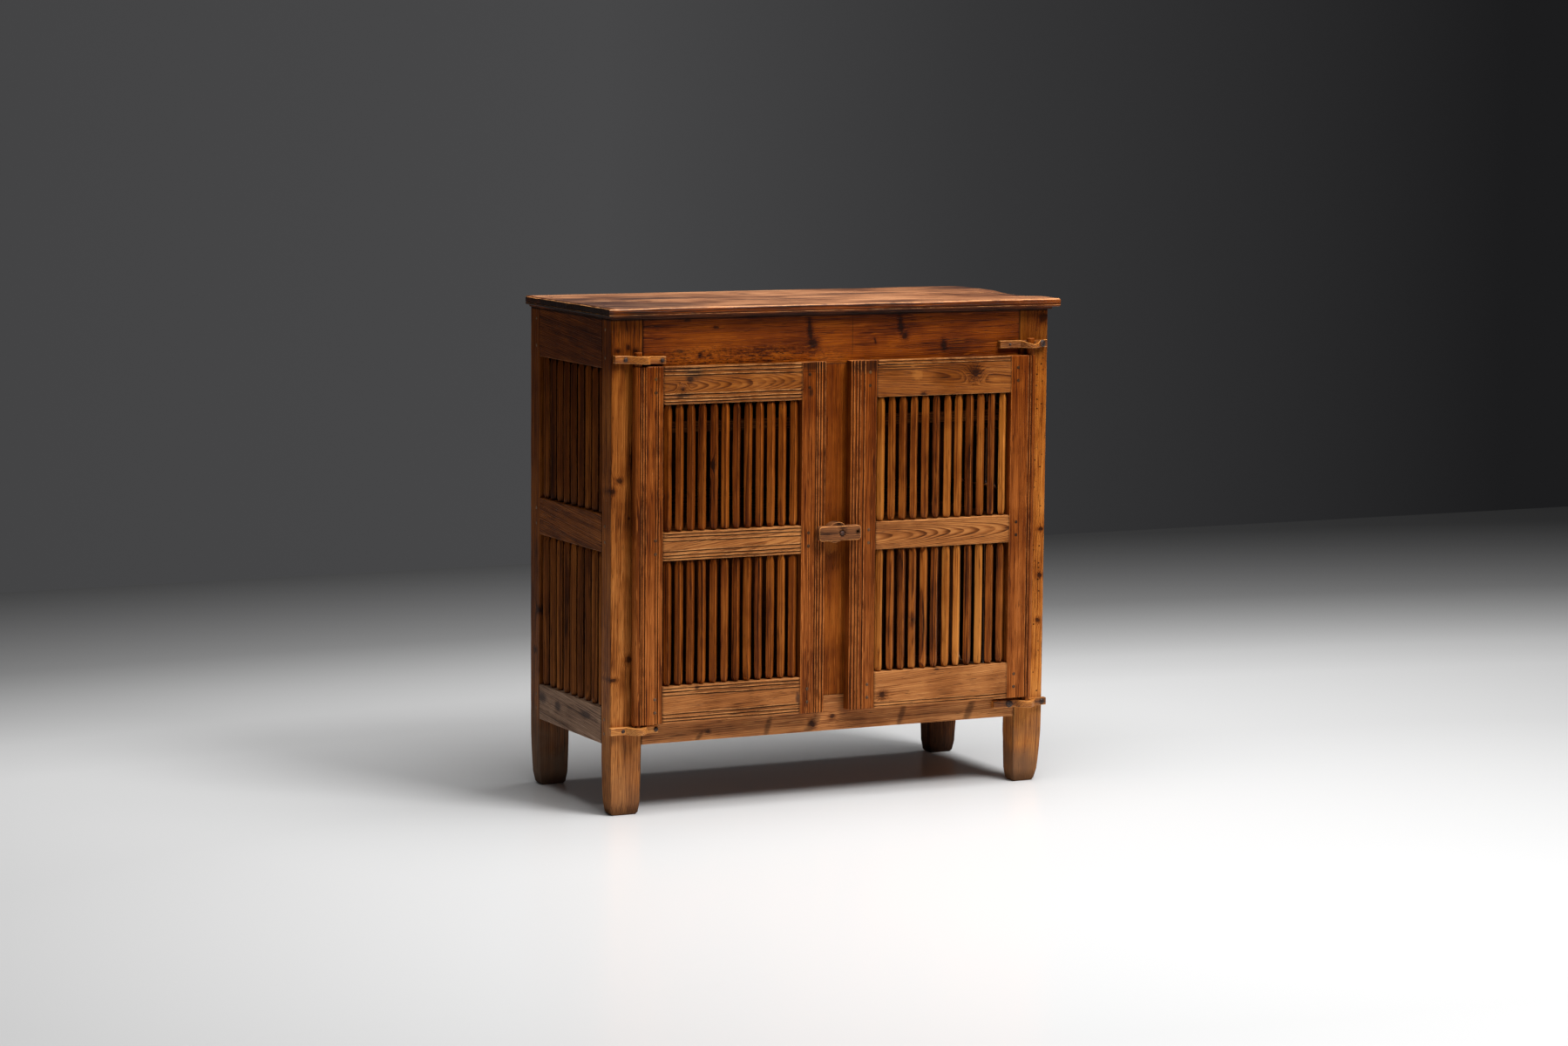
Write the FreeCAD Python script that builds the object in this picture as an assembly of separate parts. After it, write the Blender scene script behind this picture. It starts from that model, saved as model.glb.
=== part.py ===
# Trastero cabinet: a pegged pine frame with barred sides, a plank back and top, and two
# barred doors that hang on wooden pintles and are held shut by a turn button.
# Millimetres, +Z up, front towards -Y, origin under the middle of the whole cabinet.
import FreeCAD, Part
import os
from FreeCAD import Vector

os.makedirs("parts", exist_ok=True)

# Carcass: outside sizes over the posts, and the height under the top
frame_w = 996.0
frame_d = 413.0
frame_h = 1000.0

# Posts, which run down into the feet
post_w = 68.0
post_d = 46.0
post_arris = 3.0
foot_taper_h = 100.0
foot_taper_in = 2.5
foot_worn_h = 12.0
foot_worn_in = 8.0

# Rails and muntin, flush with the posts' outer faces
rail_t = 26.0
top_rail_h = 100.0
bottom_rail_z = 142.0
bottom_rail_h = 73.0
middle_rail_z = 530.5
middle_rail_h = 76.0
muntin_w = 86.0

# Mortise and tenon joints of the carcass
tenon_t = 10.0
tenon_len = 30.0
tenon_shoulder = 9.0
muntin_tenon_len = 24.0
joint_play = 0.2

# Pegs through the side joints
peg_r = 3.6
peg_len = 30.0
peg_proud = 0.3
peg_play = 0.05
side_peg_in = 15.0
side_peg_edge = 22.0

# Top: two boards with a rounded nosing over a small step
top_side_over = 16.0
top_front_over = 25.0
top_nosing_t = 18.0
top_nosing_r = 7.0
top_step_t = 5.0
top_step_in = 13.0
top_joint_from_front = 214.0

# Bars: square sticks set on the diagonal, whittled at both ends
bar_half = 8.8
bar_recess = 2.2
bar_taper = 9.0
bar_end_half = 5.6
bar_tenon_len = 14.0
bar_play = 0.15
side_bar_count = 9
door_bar_count = 12
door_bar_first_gap = 6.4
door_bar_last_gap = 5.7

# Back
back_board_t = 12.0
back_board_count = 5
back_board_gap = 1.0

# Floor, shelves and the cleats that carry them
floor_t = 18.0
shelf_t = 22.0
upper_compartment_h = 211.0
lower_shelf_above_rail = 3.5
shelf_setback = 8.0
board_play = 1.0
cleat_t = 20.0
cleat_h = 24.0

# Doors, which lie over the front of the frame and stop short of the button's disc
door_laps_top_rail = 5.0
door_laps_bottom_rail = 30.0
door_t = 22.0
door_stand_off = 0.6
left_door_edge_in = 41.5
left_door_disc_gap = 6.0
right_door_edge_in = 36.0
right_door_disc_gap = 1.0
hinge_stile_w = 61.5
left_lock_stile_w = 54.0
right_lock_stile_w = 59.0
door_top_rail_h = 76.0
door_middle_rail_drop = 15.5
door_middle_rail_h = 57.0
door_bottom_rail_h = 75.0
door_tenon_t = 7.0
door_tenon_len = 34.0
door_tenon_shoulder = 8.0
door_peg_r = 3.4
door_peg_in = 16.0
door_peg_spread = 27.0
door_peg_proud = 0.4

# Scratched beads on the doors, counted from the nearest edge
bead_w = 1.8
bead_depth = 1.1
rail_bead_places = (5.0, 10.5, 19.0)
stile_bead_places = (3.5, 8.5, 15.5)
plain_door_bead_places = (4.0, 9.5)

# Pintles, turned on the hinge stiles, and the nailed ears that they turn in
pintle_r = 8.0
pintle_play = 0.06
pintle_poke = 4.0
pintle_end_gap = 0.4
pintle_socket_floor = 4.0
ear_t = 15.5
ear_end_d = 12.0
ear_bow_d = 33.0
ear_bow_half = 24.0
left_top_ear_gap = 9.5
left_top_ear_reach = (50.0, 62.0)
left_top_ear_nails = (4.5, 29.0)
left_bottom_ear_gap = 4.0
left_bottom_ear_reach = (57.0, 48.0)
left_bottom_ear_nails = (6.0, 18.0)
right_top_ear_gap = 15.5
right_top_ear_reach = (72.5, 41.0)
right_top_ear_nails = (25.0, 4.5)
right_bottom_ear_gap = 6.5
right_bottom_ear_reach = (75.0, 52.0)
right_bottom_ear_nails = (14.0, 17.0)

# Turn button on its disc
button_w = 97.0
button_h = 31.0
button_t = 17.0
button_corner_r = 8.0
button_edge_r = 2.5
button_gap = 0.4
button_off_centre = 5.0
button_x = 0.0
button_z = 555.0
button_hollow_r = 7.5
button_hollow_deep = 3.0
button_hole_r = 2.2
button_hole_in = 8.0
disc_r = 25.0
disc_lower = 3.0
disc_stand = 1.0
button_nail_r = 3.0
button_nail_head_r = 5.0
button_nail_head_t = 2.0
button_nail_bite = 18.0
button_nail_play = 0.06

# Wrought nails
nail_r = 1.6
nail_head_r = 3.4
nail_head_t = 1.4
nail_bite = 18.0
ear_nail_bite = 14.0
nail_play = 0.05
back_nail_in = 32.0
cleat_nail_in = 60.0
top_nail_in_share = 0.35

# One overrun for every cut that runs out of its piece
over = 5.0

# Places worked out from the sizes above
nail_sunk = nail_head_t + nail_play
top_t = top_nosing_t + top_step_t
rail_mid = rail_t / 2
disc_len = door_stand_off + door_t + disc_stand
button_reach = disc_len + button_gap + button_t
front_reach = max(button_reach, ear_bow_d + nail_head_t, top_front_over)
left = -frame_w / 2
right = frame_w / 2
front = (front_reach - frame_d) / 2
back = front + frame_d
rail_back = back - back_board_t
rail_back_in = rail_back - rail_t
inner_left = left + post_w
inner_front = front + post_d
inner_back = back - post_d
front_mid = front + rail_mid
side_mid = left + rail_mid
back_mid = rail_back - rail_mid
top_rail_z = frame_h - top_rail_h
bottom_rail_top = bottom_rail_z + bottom_rail_h
middle_rail_top = middle_rail_z + middle_rail_h
door_back = front - door_stand_off
door_front = door_back - door_t
door_mid = door_back - door_t / 2
door_z = bottom_rail_top - door_laps_bottom_rail
door_top = top_rail_z + door_laps_top_rail
door_h = door_top - door_z
door_middle_rail_z = middle_rail_z - door_middle_rail_drop
left_door_w = button_x - disc_r - left_door_disc_gap - left - left_door_edge_in
right_door_w = right - right_door_edge_in - button_x - disc_r - right_door_disc_gap
left_top_ear_z = door_top + left_top_ear_gap
right_top_ear_z = door_top + right_top_ear_gap
left_bottom_ear_z = door_z - left_bottom_ear_gap - ear_t
right_bottom_ear_z = door_z - right_bottom_ear_gap - ear_t
upper_shelf_z = frame_h - upper_compartment_h - shelf_t
lower_shelf_z = middle_rail_z + lower_shelf_above_rail
pintle_line = door_t / 2
left_pivot_x = left + left_door_edge_in + pintle_line
right_pivot_x = right - right_door_edge_in - pintle_line
UP = Vector(0, 0, 1)
FORWARD = Vector(0, -1, 0)
BACKWARD = Vector(0, 1, 0)
RIGHTWARD = Vector(1, 0, 0)
DOWN = Vector(0, 0, -1)

finished = {}


def keep(name, shape):
    """Hold a finished sub-part under its plain name."""
    finished[name] = shape


def block(x0, x1, y0, y1, z0, z1):
    """A squared piece between two opposite corners."""
    return Part.makeBox(x1 - x0, y1 - y0, z1 - z0, Vector(x0, y0, z0))


def group(solids):
    """Separate solids kept together as one sub-part."""
    return Part.makeCompound(solids)


def mirrored(shape):
    """The same piece for the cabinet's other side."""
    return shape.mirror(Vector(0, 0, 0), RIGHTWARD)


def cut_all(shape, tools):
    """A piece with every mortise, hole and groove cut from it."""
    return shape.cut(tools) if tools else shape


def outline(points):
    """A closed flat face through points."""
    return Part.Face(Part.makePolygon(points + points[:1]))


def tenon_x(shoulder, way, mid, z0, z1, play=0):
    """A carcass tenon along X from its shoulder; play makes it a mortise."""
    ends = sorted((shoulder, shoulder + way * (tenon_len + play)))
    half = tenon_t / 2 + play
    return block(ends[0], ends[1], mid - half, mid + half,
                 z0 + tenon_shoulder - play, z1 - tenon_shoulder + play)


def tenon_y(shoulder, way, mid, z0, z1, play=0):
    """A carcass tenon along Y from its shoulder; play makes it a mortise."""
    ends = sorted((shoulder, shoulder + way * (tenon_len + play)))
    half = tenon_t / 2 + play
    return block(mid - half, mid + half, ends[0], ends[1],
                 z0 + tenon_shoulder - play, z1 - tenon_shoulder + play)


def muntin_tenon(z, way, play=0):
    """The muntin's tenon into a rail above or below it."""
    ends = sorted((z, z + way * (muntin_tenon_len + play)))
    half = muntin_w / 2 - tenon_shoulder + play
    thick = tenon_t / 2 + play
    return block(-half, half, front_mid - thick, front_mid + thick, ends[0], ends[1])


def diamond(x, y, half, z):
    """A square outline that stands on its corner in plan."""
    points = [Vector(x - half, y, z), Vector(x, y - half, z),
              Vector(x + half, y, z), Vector(x, y + half, z)]
    return Part.makePolygon(points + points[:1])


def bar(x, y, z0, z1):
    """One bar between two rails, with a whittled tenon at each end."""
    levels = [(z0 - bar_tenon_len, bar_end_half), (z0, bar_end_half),
              (z0 + bar_taper, bar_half), (z1 - bar_taper, bar_half),
              (z1, bar_end_half), (z1 + bar_tenon_len, bar_end_half)]
    return Part.makeLoft([diamond(x, y, half, z) for z, half in levels], True, True)


def bar_socket(x, y, z, way):
    """The mortise for one bar's end, from the rail's edge at z."""
    half = bar_end_half + bar_play
    ends = sorted((z - way * over, z + way * (bar_tenon_len + bar_play)))
    return Part.makeLoft([diamond(x, y, half, end) for end in ends], True, True)


def nail(point, way, bite):
    """A nail with its head's underside at point, driven along way."""
    shank = Part.makeCylinder(nail_r, bite, point, way)
    head = Part.makeCone(nail_head_r, nail_r, nail_head_t, point, -way)
    return shank.fuse(head).removeSplitter()


def nail_hole(point, way, bite):
    """The hole that a nail's shank leaves."""
    return Part.makeCylinder(nail_r + nail_play, bite + nail_play, point, way)


def sunk_nail_hole(point, way, bite):
    """The hole of a nail driven in until its head is below the face."""
    pocket = Part.makeCylinder(nail_head_r + nail_play, nail_head_t + over, point, -way)
    return nail_hole(point, way, bite).fuse(pocket)


def x_groove(x0, x1, y, z):
    """A scratched line along X in a face that looks forward at y."""
    slope = bead_w / 2 / bead_depth
    wide = (bead_depth + over) * slope
    face = outline([Vector(x0, y - over, z - wide), Vector(x0, y - over, z + wide),
                    Vector(x0, y + bead_depth, z)])
    return face.extrude(Vector(x1 - x0, 0, 0))


def z_groove(x, y, z0, z1):
    """A scratched line along Z in a face that looks forward at y."""
    slope = bead_w / 2 / bead_depth
    wide = (bead_depth + over) * slope
    face = outline([Vector(x - wide, y - over, z0), Vector(x + wide, y - over, z0),
                    Vector(x, y + bead_depth, z0)])
    return face.extrude(Vector(0, 0, z1 - z0))


# Pegs of the left side: two to each joint of a side rail
side_rails = (("top", top_rail_z, frame_h), ("middle", middle_rail_z, middle_rail_top),
              ("bottom", bottom_rail_z, bottom_rail_top))
side_joints = ((inner_front, -1), (inner_back, 1))


def side_peg_places():
    """Middle of each peg on the left side, as its Y and Z."""
    places = []
    for name, z0, z1 in side_rails:
        for shoulder, way in side_joints:
            for z in (z0 + side_peg_edge, z1 - side_peg_edge):
                places.append((shoulder + way * side_peg_in, z))
    return places


def side_peg_holes():
    """Holes for the left side's pegs, through post and tenon."""
    return [Part.makeCylinder(peg_r + peg_play, over + peg_len + peg_play,
                              Vector(left - over, y, z), RIGHTWARD)
            for y, z in side_peg_places()]


def side_pegs():
    """The left side's pegs, a little proud of the post."""
    return group([Part.makeCylinder(peg_r, peg_len + peg_proud,
                                    Vector(left - peg_proud, y, z), RIGHTWARD)
                  for y, z in side_peg_places()])


def post_section(x0, x1, y0, y1, corner_x, corner_y, inset, z):
    """A post's outline at one height, with its outer arris taken off."""
    x_lo, x_hi, y_lo, y_hi = x0 + inset, x1 - inset, y0 + inset, y1 - inset
    cut = post_arris
    points = []
    for x, y in ((x_lo, y_lo), (x_hi, y_lo), (x_hi, y_hi), (x_lo, y_hi)):
        if (x == x_lo) == (corner_x < 0) and (y == y_lo) == (corner_y < 0):
            along_x = Vector(x - corner_x * cut, y, z)
            along_y = Vector(x, y - corner_y * cut, z)
            points += [along_x, along_y] if corner_x * corner_y < 0 else [along_y, along_x]
        else:
            points.append(Vector(x, y, z))
    return Part.makePolygon(points + points[:1])


def post(y0, y1, corner_y):
    """A left-hand post from its worn foot to the underside of the top."""
    levels = ((0, foot_worn_in), (foot_worn_h, foot_taper_in), (foot_taper_h, 0), (frame_h, 0))
    wires = [post_section(left, inner_left, y0, y1, -1, corner_y, inset, z)
             for z, inset in levels]
    return Part.makeLoft(wires, True, True)


def side_mortises(shoulder, way):
    """Mortises of a left-hand post for the three side rails."""
    return [tenon_y(shoulder, way, side_mid, z0, z1, joint_play) for name, z0, z1 in side_rails]


def ear_nail_places(pivot_x, past_bow):
    """X of an ear's two nails, so far past each end of its bow."""
    return [pivot_x - ear_bow_half - past_bow[0], pivot_x + ear_bow_half + past_bow[1]]


ears = {
    "left_top_ear":
        (left_pivot_x, left_top_ear_reach, left_top_ear_nails, left_top_ear_z, True),
    "left_bottom_ear":
        (left_pivot_x, left_bottom_ear_reach, left_bottom_ear_nails, left_bottom_ear_z, False),
    "right_top_ear":
        (right_pivot_x, right_top_ear_reach, right_top_ear_nails, right_top_ear_z, True),
    "right_bottom_ear":
        (right_pivot_x, right_bottom_ear_reach, right_bottom_ear_nails, right_bottom_ear_z, False),
}


def ear_nail_points():
    """Where every ear nail's head meets its ear."""
    return [Vector(x, front - ear_end_d, z + ear_t / 2)
            for pivot_x, reach, past_bow, z, is_top in ears.values()
            for x in ear_nail_places(pivot_x, past_bow)]


ear_nail_len = ear_end_d + ear_nail_bite


def ear_nail_holes():
    """Holes of the ear nails, through the ears and into the frame."""
    return [nail_hole(point, BACKWARD, ear_nail_len) for point in ear_nail_points()]


def make_posts():
    """Four posts, the right-hand pair mirrored from the left."""
    pegs = side_peg_holes()
    front_mortises = [tenon_x(inner_left, -1, front_mid, top_rail_z, frame_h, joint_play),
                      tenon_x(inner_left, -1, front_mid, bottom_rail_z, bottom_rail_top,
                              joint_play)]
    back_mortises = [tenon_x(inner_left, -1, back_mid, z0, z1, joint_play)
                     for name, z0, z1 in side_rails]
    front_post = cut_all(post(front, inner_front, -1),
                         front_mortises + side_mortises(inner_front, -1) + pegs)
    back_post = cut_all(post(inner_back, back, 1),
                        back_mortises + side_mortises(inner_back, 1) + pegs)
    nails = ear_nail_holes()
    keep("front_left_post", cut_all(front_post, nails))
    keep("front_right_post", cut_all(mirrored(front_post), nails))
    keep("back_left_post", back_post)
    keep("back_right_post", mirrored(back_post))


def cross_rail(y0, y1, mid, z0, z1):
    """A rail along X between two posts, with a tenon at each end."""
    body = block(inner_left, -inner_left, y0, y1, z0, z1)
    ends = [tenon_x(inner_left, -1, mid, z0, z1), tenon_x(-inner_left, 1, mid, z0, z1)]
    return body.fuse(ends).removeSplitter()


def make_front():
    """Front rails and the muntin between them."""
    nails = ear_nail_holes()
    button_hole = Part.makeCylinder(button_nail_r + button_nail_play,
                                    over + button_nail_bite + button_nail_play,
                                    Vector(button_x, front - over, button_z), BACKWARD)
    upper = cross_rail(front, front + rail_t, front_mid, top_rail_z, frame_h)
    lower = cross_rail(front, front + rail_t, front_mid, bottom_rail_z, bottom_rail_top)
    keep("front_top_rail", cut_all(upper, [muntin_tenon(top_rail_z, 1, joint_play)] + nails))
    keep("front_bottom_rail", cut_all(lower, [muntin_tenon(bottom_rail_top, -1, joint_play)]
                                      + nails + floor_cleat_nail_holes()))
    muntin = block(-muntin_w / 2, muntin_w / 2, front, front + rail_t,
                   bottom_rail_top, top_rail_z)
    muntin = muntin.fuse([muntin_tenon(top_rail_z, 1), muntin_tenon(bottom_rail_top, -1)])
    keep("front_muntin", muntin.removeSplitter().cut(button_hole))


side_bar_x = left + bar_half + bar_recess
side_bar_pitch = (inner_back - inner_front) / side_bar_count


def side_bar_places():
    """Y of each bar in a side grille."""
    return [inner_front + side_bar_pitch * (i + 1 / 2) for i in range(side_bar_count)]


def make_sides():
    """Side rails, bars and pegs, made on the left and mirrored."""
    sockets = []
    for z, way in ((bottom_rail_top, -1), (middle_rail_z, 1), (middle_rail_top, -1),
                   (top_rail_z, 1)):
        sockets += [bar_socket(side_bar_x, y, z, way) for y in side_bar_places()]
    cuts = sockets + side_peg_holes() + top_nail_holes()
    for name, z0, z1 in side_rails:
        body = block(left, left + rail_t, inner_front, inner_back, z0, z1)
        ends = [tenon_y(inner_front, -1, side_mid, z0, z1), tenon_y(inner_back, 1, side_mid, z0, z1)]
        rail = cut_all(body.fuse(ends).removeSplitter(), cuts)
        keep("left_side_" + name + "_rail", rail)
        keep("right_side_" + name + "_rail", mirrored(rail))
    for name, z0, z1 in (("upper", middle_rail_top, top_rail_z),
                         ("lower", bottom_rail_top, middle_rail_z)):
        bars = group([bar(side_bar_x, y, z0, z1) for y in side_bar_places()])
        keep("left_side_" + name + "_bars", bars)
        keep("right_side_" + name + "_bars", mirrored(bars))
    keep("left_side_pegs", side_pegs())
    keep("right_side_pegs", mirrored(side_pegs()))


back_board_pitch = (frame_w - post_w * 2) / back_board_count
back_rail_heights = [(z0 + z1) / 2 for name, z0, z1 in side_rails]


def back_nail_points():
    """Where each back nail's head meets its board: two to a board at every rail."""
    points = []
    for i in range(back_board_count):
        x0 = inner_left + back_board_pitch * i
        for x in (x0 + back_nail_in, x0 + back_board_pitch - back_nail_in):
            points += [Vector(x, back - nail_sunk, z) for z in back_rail_heights]
    return points


def make_back():
    """Back rails with the upright boards nailed over them."""
    length = back_board_t + nail_bite
    holes = [sunk_nail_hole(point, FORWARD, length) for point in back_nail_points()]
    for name, z0, z1 in side_rails:
        rail = cut_all(cross_rail(rail_back_in, rail_back, back_mid, z0, z1), holes)
        if name == "bottom":
            rail = cut_all(rail, floor_cleat_nail_holes())
        keep("back_" + name + "_rail", rail)
    boards = []
    for i in range(back_board_count):
        x0 = inner_left + back_board_pitch * i
        board = block(x0 + back_board_gap / 2, x0 + back_board_pitch - back_board_gap / 2,
                      rail_back, back, bottom_rail_z, frame_h)
        boards.append(cut_all(board, holes))
    keep("back_boards", group(boards))
    keep("back_nails", group([nail(point, FORWARD, length) for point in back_nail_points()]))


top_front = front - top_front_over
top_left = left - top_side_over
top_z = frame_h + top_t
top_joint_y = top_front + top_joint_from_front


def top_nail_points():
    """Where the top's nails meet the boards, over both side rails."""
    points = []
    for y0, y1 in ((front, top_joint_y), (top_joint_y, back)):
        inset = (y1 - y0) * top_nail_in_share
        for y in (y0 + inset, y1 - inset):
            points += [Vector(x, y, top_z - nail_sunk) for x in (side_mid, -side_mid)]
    return points


top_nail_len = top_t + nail_bite


def top_nail_holes():
    """Holes of the top's nails, through the boards and into the side rails."""
    return [sunk_nail_hole(point, DOWN, top_nail_len) for point in top_nail_points()]


def make_top():
    """The top's two boards, cut from one slab with a nosing on three sides."""
    slab = block(top_left, -top_left, top_front, back, frame_h + top_step_t, top_z)
    nosing = []
    for edge in slab.Edges:
        box = edge.BoundBox
        at_back = abs(box.YMin - back) < top_nosing_r and box.YLength < top_nosing_r
        if not at_back and box.ZLength < top_nosing_r:
            nosing.append(edge)
    slab = slab.makeFillet(top_nosing_r, nosing)
    step = block(top_left + top_step_in, -top_left - top_step_in, top_front + top_step_in, back,
                 frame_h, frame_h + top_step_t)
    whole = slab.fuse(step).removeSplitter()
    whole = cut_all(whole, top_nail_holes())
    keep("top_front_board", whole.common(block(top_left - over, -top_left + over,
                                               top_front - over, top_joint_y,
                                               frame_h - over, top_z + over)))
    keep("top_back_board", whole.common(block(top_left - over, -top_left + over,
                                              top_joint_y, back + over,
                                              frame_h - over, top_z + over)))
    keep("top_nails", group([nail(point, DOWN, top_nail_len) for point in top_nail_points()]))


def notched_board(y0, z0, z1):
    """A board across the inside, cut round the four posts."""
    x_end = -left - rail_t - board_play
    board = block(-x_end, x_end, y0, rail_back_in - board_play, z0, z1)
    x_post = -inner_left - board_play
    notches = []
    for x0, x1 in ((-x_end - over, -x_post), (x_post, x_end + over)):
        notches.append(block(x0, x1, y0 - over, inner_front + board_play, z0 - over, z1 + over))
        notches.append(block(x0, x1, inner_back - board_play, rail_back + over,
                             z0 - over, z1 + over))
    return cut_all(board, notches)


floor_z = bottom_rail_top - floor_t
floor_cleat_mid = floor_z - cleat_h / 2
cleat_nail_len = cleat_t + nail_bite


def floor_cleat_nails():
    """Floor cleat nails as a head point and the way each is driven."""
    x_end = -inner_left - cleat_nail_in
    found = []
    for x in (-x_end, 0, x_end):
        found.append((Vector(x, front + rail_t + cleat_t, floor_cleat_mid), FORWARD))
        found.append((Vector(x, rail_back_in - cleat_t, floor_cleat_mid), BACKWARD))
    return found


def floor_cleat_nail_holes():
    """Holes of the floor cleat nails."""
    return [nail_hole(point, way, cleat_nail_len) for point, way in floor_cleat_nails()]


def shelf_cleat_nails():
    """Shelf cleat nails on both sides, driven outward into the posts."""
    found = []
    for shelf_z in (upper_shelf_z, lower_shelf_z):
        z = shelf_z - cleat_h / 2
        for y in (inner_front - post_d / 4, inner_back + post_d / 4):
            found.append((Vector(inner_left + cleat_t, y, z), -RIGHTWARD))
            found.append((Vector(-inner_left - cleat_t, y, z), RIGHTWARD))
    return found


def shelf_cleat_nail_holes():
    """Holes of the shelf cleat nails."""
    return [nail_hole(point, way, cleat_nail_len) for point, way in shelf_cleat_nails()]


def make_inside():
    """Floor, shelves and their cleats."""
    keep("floor_board", notched_board(front + rail_t + board_play, floor_z, bottom_rail_top))
    front_cleat = block(inner_left, -inner_left, front + rail_t, front + rail_t + cleat_t,
                        floor_z - cleat_h, floor_z)
    back_cleat = block(inner_left, -inner_left, rail_back_in - cleat_t, rail_back_in,
                       floor_z - cleat_h, floor_z)
    keep("floor_cleats", cut_all(group([front_cleat, back_cleat]), floor_cleat_nail_holes()))
    for name, z in (("upper", upper_shelf_z), ("lower", lower_shelf_z)):
        keep(name + "_shelf", notched_board(front + rail_t + shelf_setback, z, z + shelf_t))
        cleat = block(inner_left, inner_left + cleat_t, front + rail_t + board_play,
                      rail_back_in - board_play, z - cleat_h, z)
        keep(name + "_shelf_cleats", cut_all(group([cleat, mirrored(cleat)]),
                                             shelf_cleat_nail_holes()))
    nails = floor_cleat_nails() + shelf_cleat_nails()
    keep("cleat_nails", group([nail(point, way, cleat_nail_len) for point, way in nails]))
    holes = shelf_cleat_nail_holes()
    for name in ("front_left_post", "front_right_post", "back_left_post", "back_right_post"):
        keep(name, cut_all(finished[name], holes))


def door_tenon(shoulder, way, z0, z1, play=0):
    """A door rail's tenon along X; play makes it a mortise."""
    ends = sorted((shoulder, shoulder + way * (door_tenon_len + play)))
    half = door_tenon_t / 2 + play
    return block(ends[0], ends[1], door_mid - half, door_mid + half,
                 z0 + door_tenon_shoulder - play, z1 - door_tenon_shoulder + play)


def bead_rows(low, high, places):
    """Places of the beads near two opposite edges."""
    return [low + place for place in places] + [high - place for place in places]


def pintle(x, z0, z1, play=0):
    """The round pin at one end of a hinge stile."""
    return Part.makeCylinder(pintle_r + play, z1 - z0, Vector(x, door_mid, z0), UP)


def hinge_stile(edge, width, top_ear_z, bottom_ear_z):
    """A stile with a rounded outer edge and a pintle at each end."""
    axis = edge + pintle_line
    body = block(axis, edge + width, door_front, door_back, door_z, door_top)
    nose = Part.makeCylinder(pintle_line, door_h, Vector(axis, door_mid, door_z), UP)
    upper = pintle(axis, door_top, top_ear_z + ear_t + pintle_poke)
    lower = pintle(axis, bottom_ear_z + pintle_socket_floor + pintle_end_gap, door_z)
    return body.fuse([nose, upper, lower]).removeSplitter()


door_rails = (("top", door_top - door_top_rail_h, door_top),
              ("middle", door_middle_rail_z, door_middle_rail_z + door_middle_rail_h),
              ("bottom", door_z, door_z + door_bottom_rail_h))


def door_bar_places(x0, x1, first_gap, last_gap):
    """X of each bar between two stiles."""
    start = x0 + first_gap + bar_half
    pitch = (x1 - last_gap - bar_half - start) / (door_bar_count - 1)
    return [start + pitch * i for i in range(door_bar_count)]


def make_door(side, edge_in, width, lock_w, ear_z, gaps, rail_beads, stile_beads):
    """One door, laid out with its hinge on the left; the right one is mirrored."""
    edge = left + edge_in
    inner = edge + hinge_stile_w
    lock_edge = edge + width
    lock_inner = lock_edge - lock_w
    turn = mirrored if side == "right" else (lambda shape: shape)
    tenons = [(inner, -1), (lock_inner, 1)]
    mortises = [door_tenon(x, way, z0, z1, joint_play)
                for name, z0, z1 in door_rails for x, way in tenons]
    peg_points = []
    for name, z0, z1 in door_rails:
        for x, way in tenons:
            for shift in (-door_peg_spread / 2, door_peg_spread / 2):
                peg_points.append((x + way * door_peg_in, (z0 + z1) / 2 + shift))
    peg_holes = [Part.makeCylinder(door_peg_r + peg_play, door_t + over * 2,
                                   Vector(x, door_front - over, z), BACKWARD)
                 for x, z in peg_points]
    stile_cuts = mortises + peg_holes
    hinge_beads = [z_groove(x, door_front, door_z - over, door_top + over)
                   for x in bead_rows(edge + pintle_line, inner, stile_beads)]
    lock_beads = [z_groove(x, door_front, door_z - over, door_top + over)
                  for x in bead_rows(lock_inner, lock_edge, stile_beads)]
    keep(side + "_door_hinge_stile",
         turn(cut_all(hinge_stile(edge, hinge_stile_w, ear_z[0], ear_z[1]),
                      stile_cuts + hinge_beads)))
    lock = block(lock_inner, lock_edge, door_front, door_back, door_z, door_top)
    keep(side + "_door_lock_stile", turn(cut_all(lock, stile_cuts + lock_beads)))

    bar_xs = door_bar_places(inner, lock_inner, gaps[0], gaps[1])
    grilles = (("upper", door_rails[1][2], door_rails[0][1]),
               ("lower", door_rails[2][2], door_rails[1][1]))
    sockets = []
    for name, z0, z1 in grilles:
        bars = [bar(x, door_mid, z0, z1) for x in bar_xs]
        keep(side + "_door_" + name + "_bars", turn(group(bars)))
        for x in bar_xs:
            sockets += [bar_socket(x, door_mid, z0, -1), bar_socket(x, door_mid, z1, 1)]
    for name, z0, z1 in door_rails:
        body = block(inner, lock_inner, door_front, door_back, z0, z1)
        ends = [door_tenon(x, way, z0, z1) for x, way in tenons]
        beads = [x_groove(inner, lock_inner, door_front, z)
                 for z in bead_rows(z0, z1, rail_beads)]
        rail = cut_all(body.fuse(ends).removeSplitter(), sockets + peg_holes + beads)
        keep(side + "_door_" + name + "_rail", turn(rail))
    pegs = [Part.makeCylinder(door_peg_r, door_t + door_peg_proud,
                              Vector(x, door_front - door_peg_proud, z), BACKWARD)
            for x, z in peg_points]
    keep(side + "_door_pegs", turn(group(pegs)))


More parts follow.
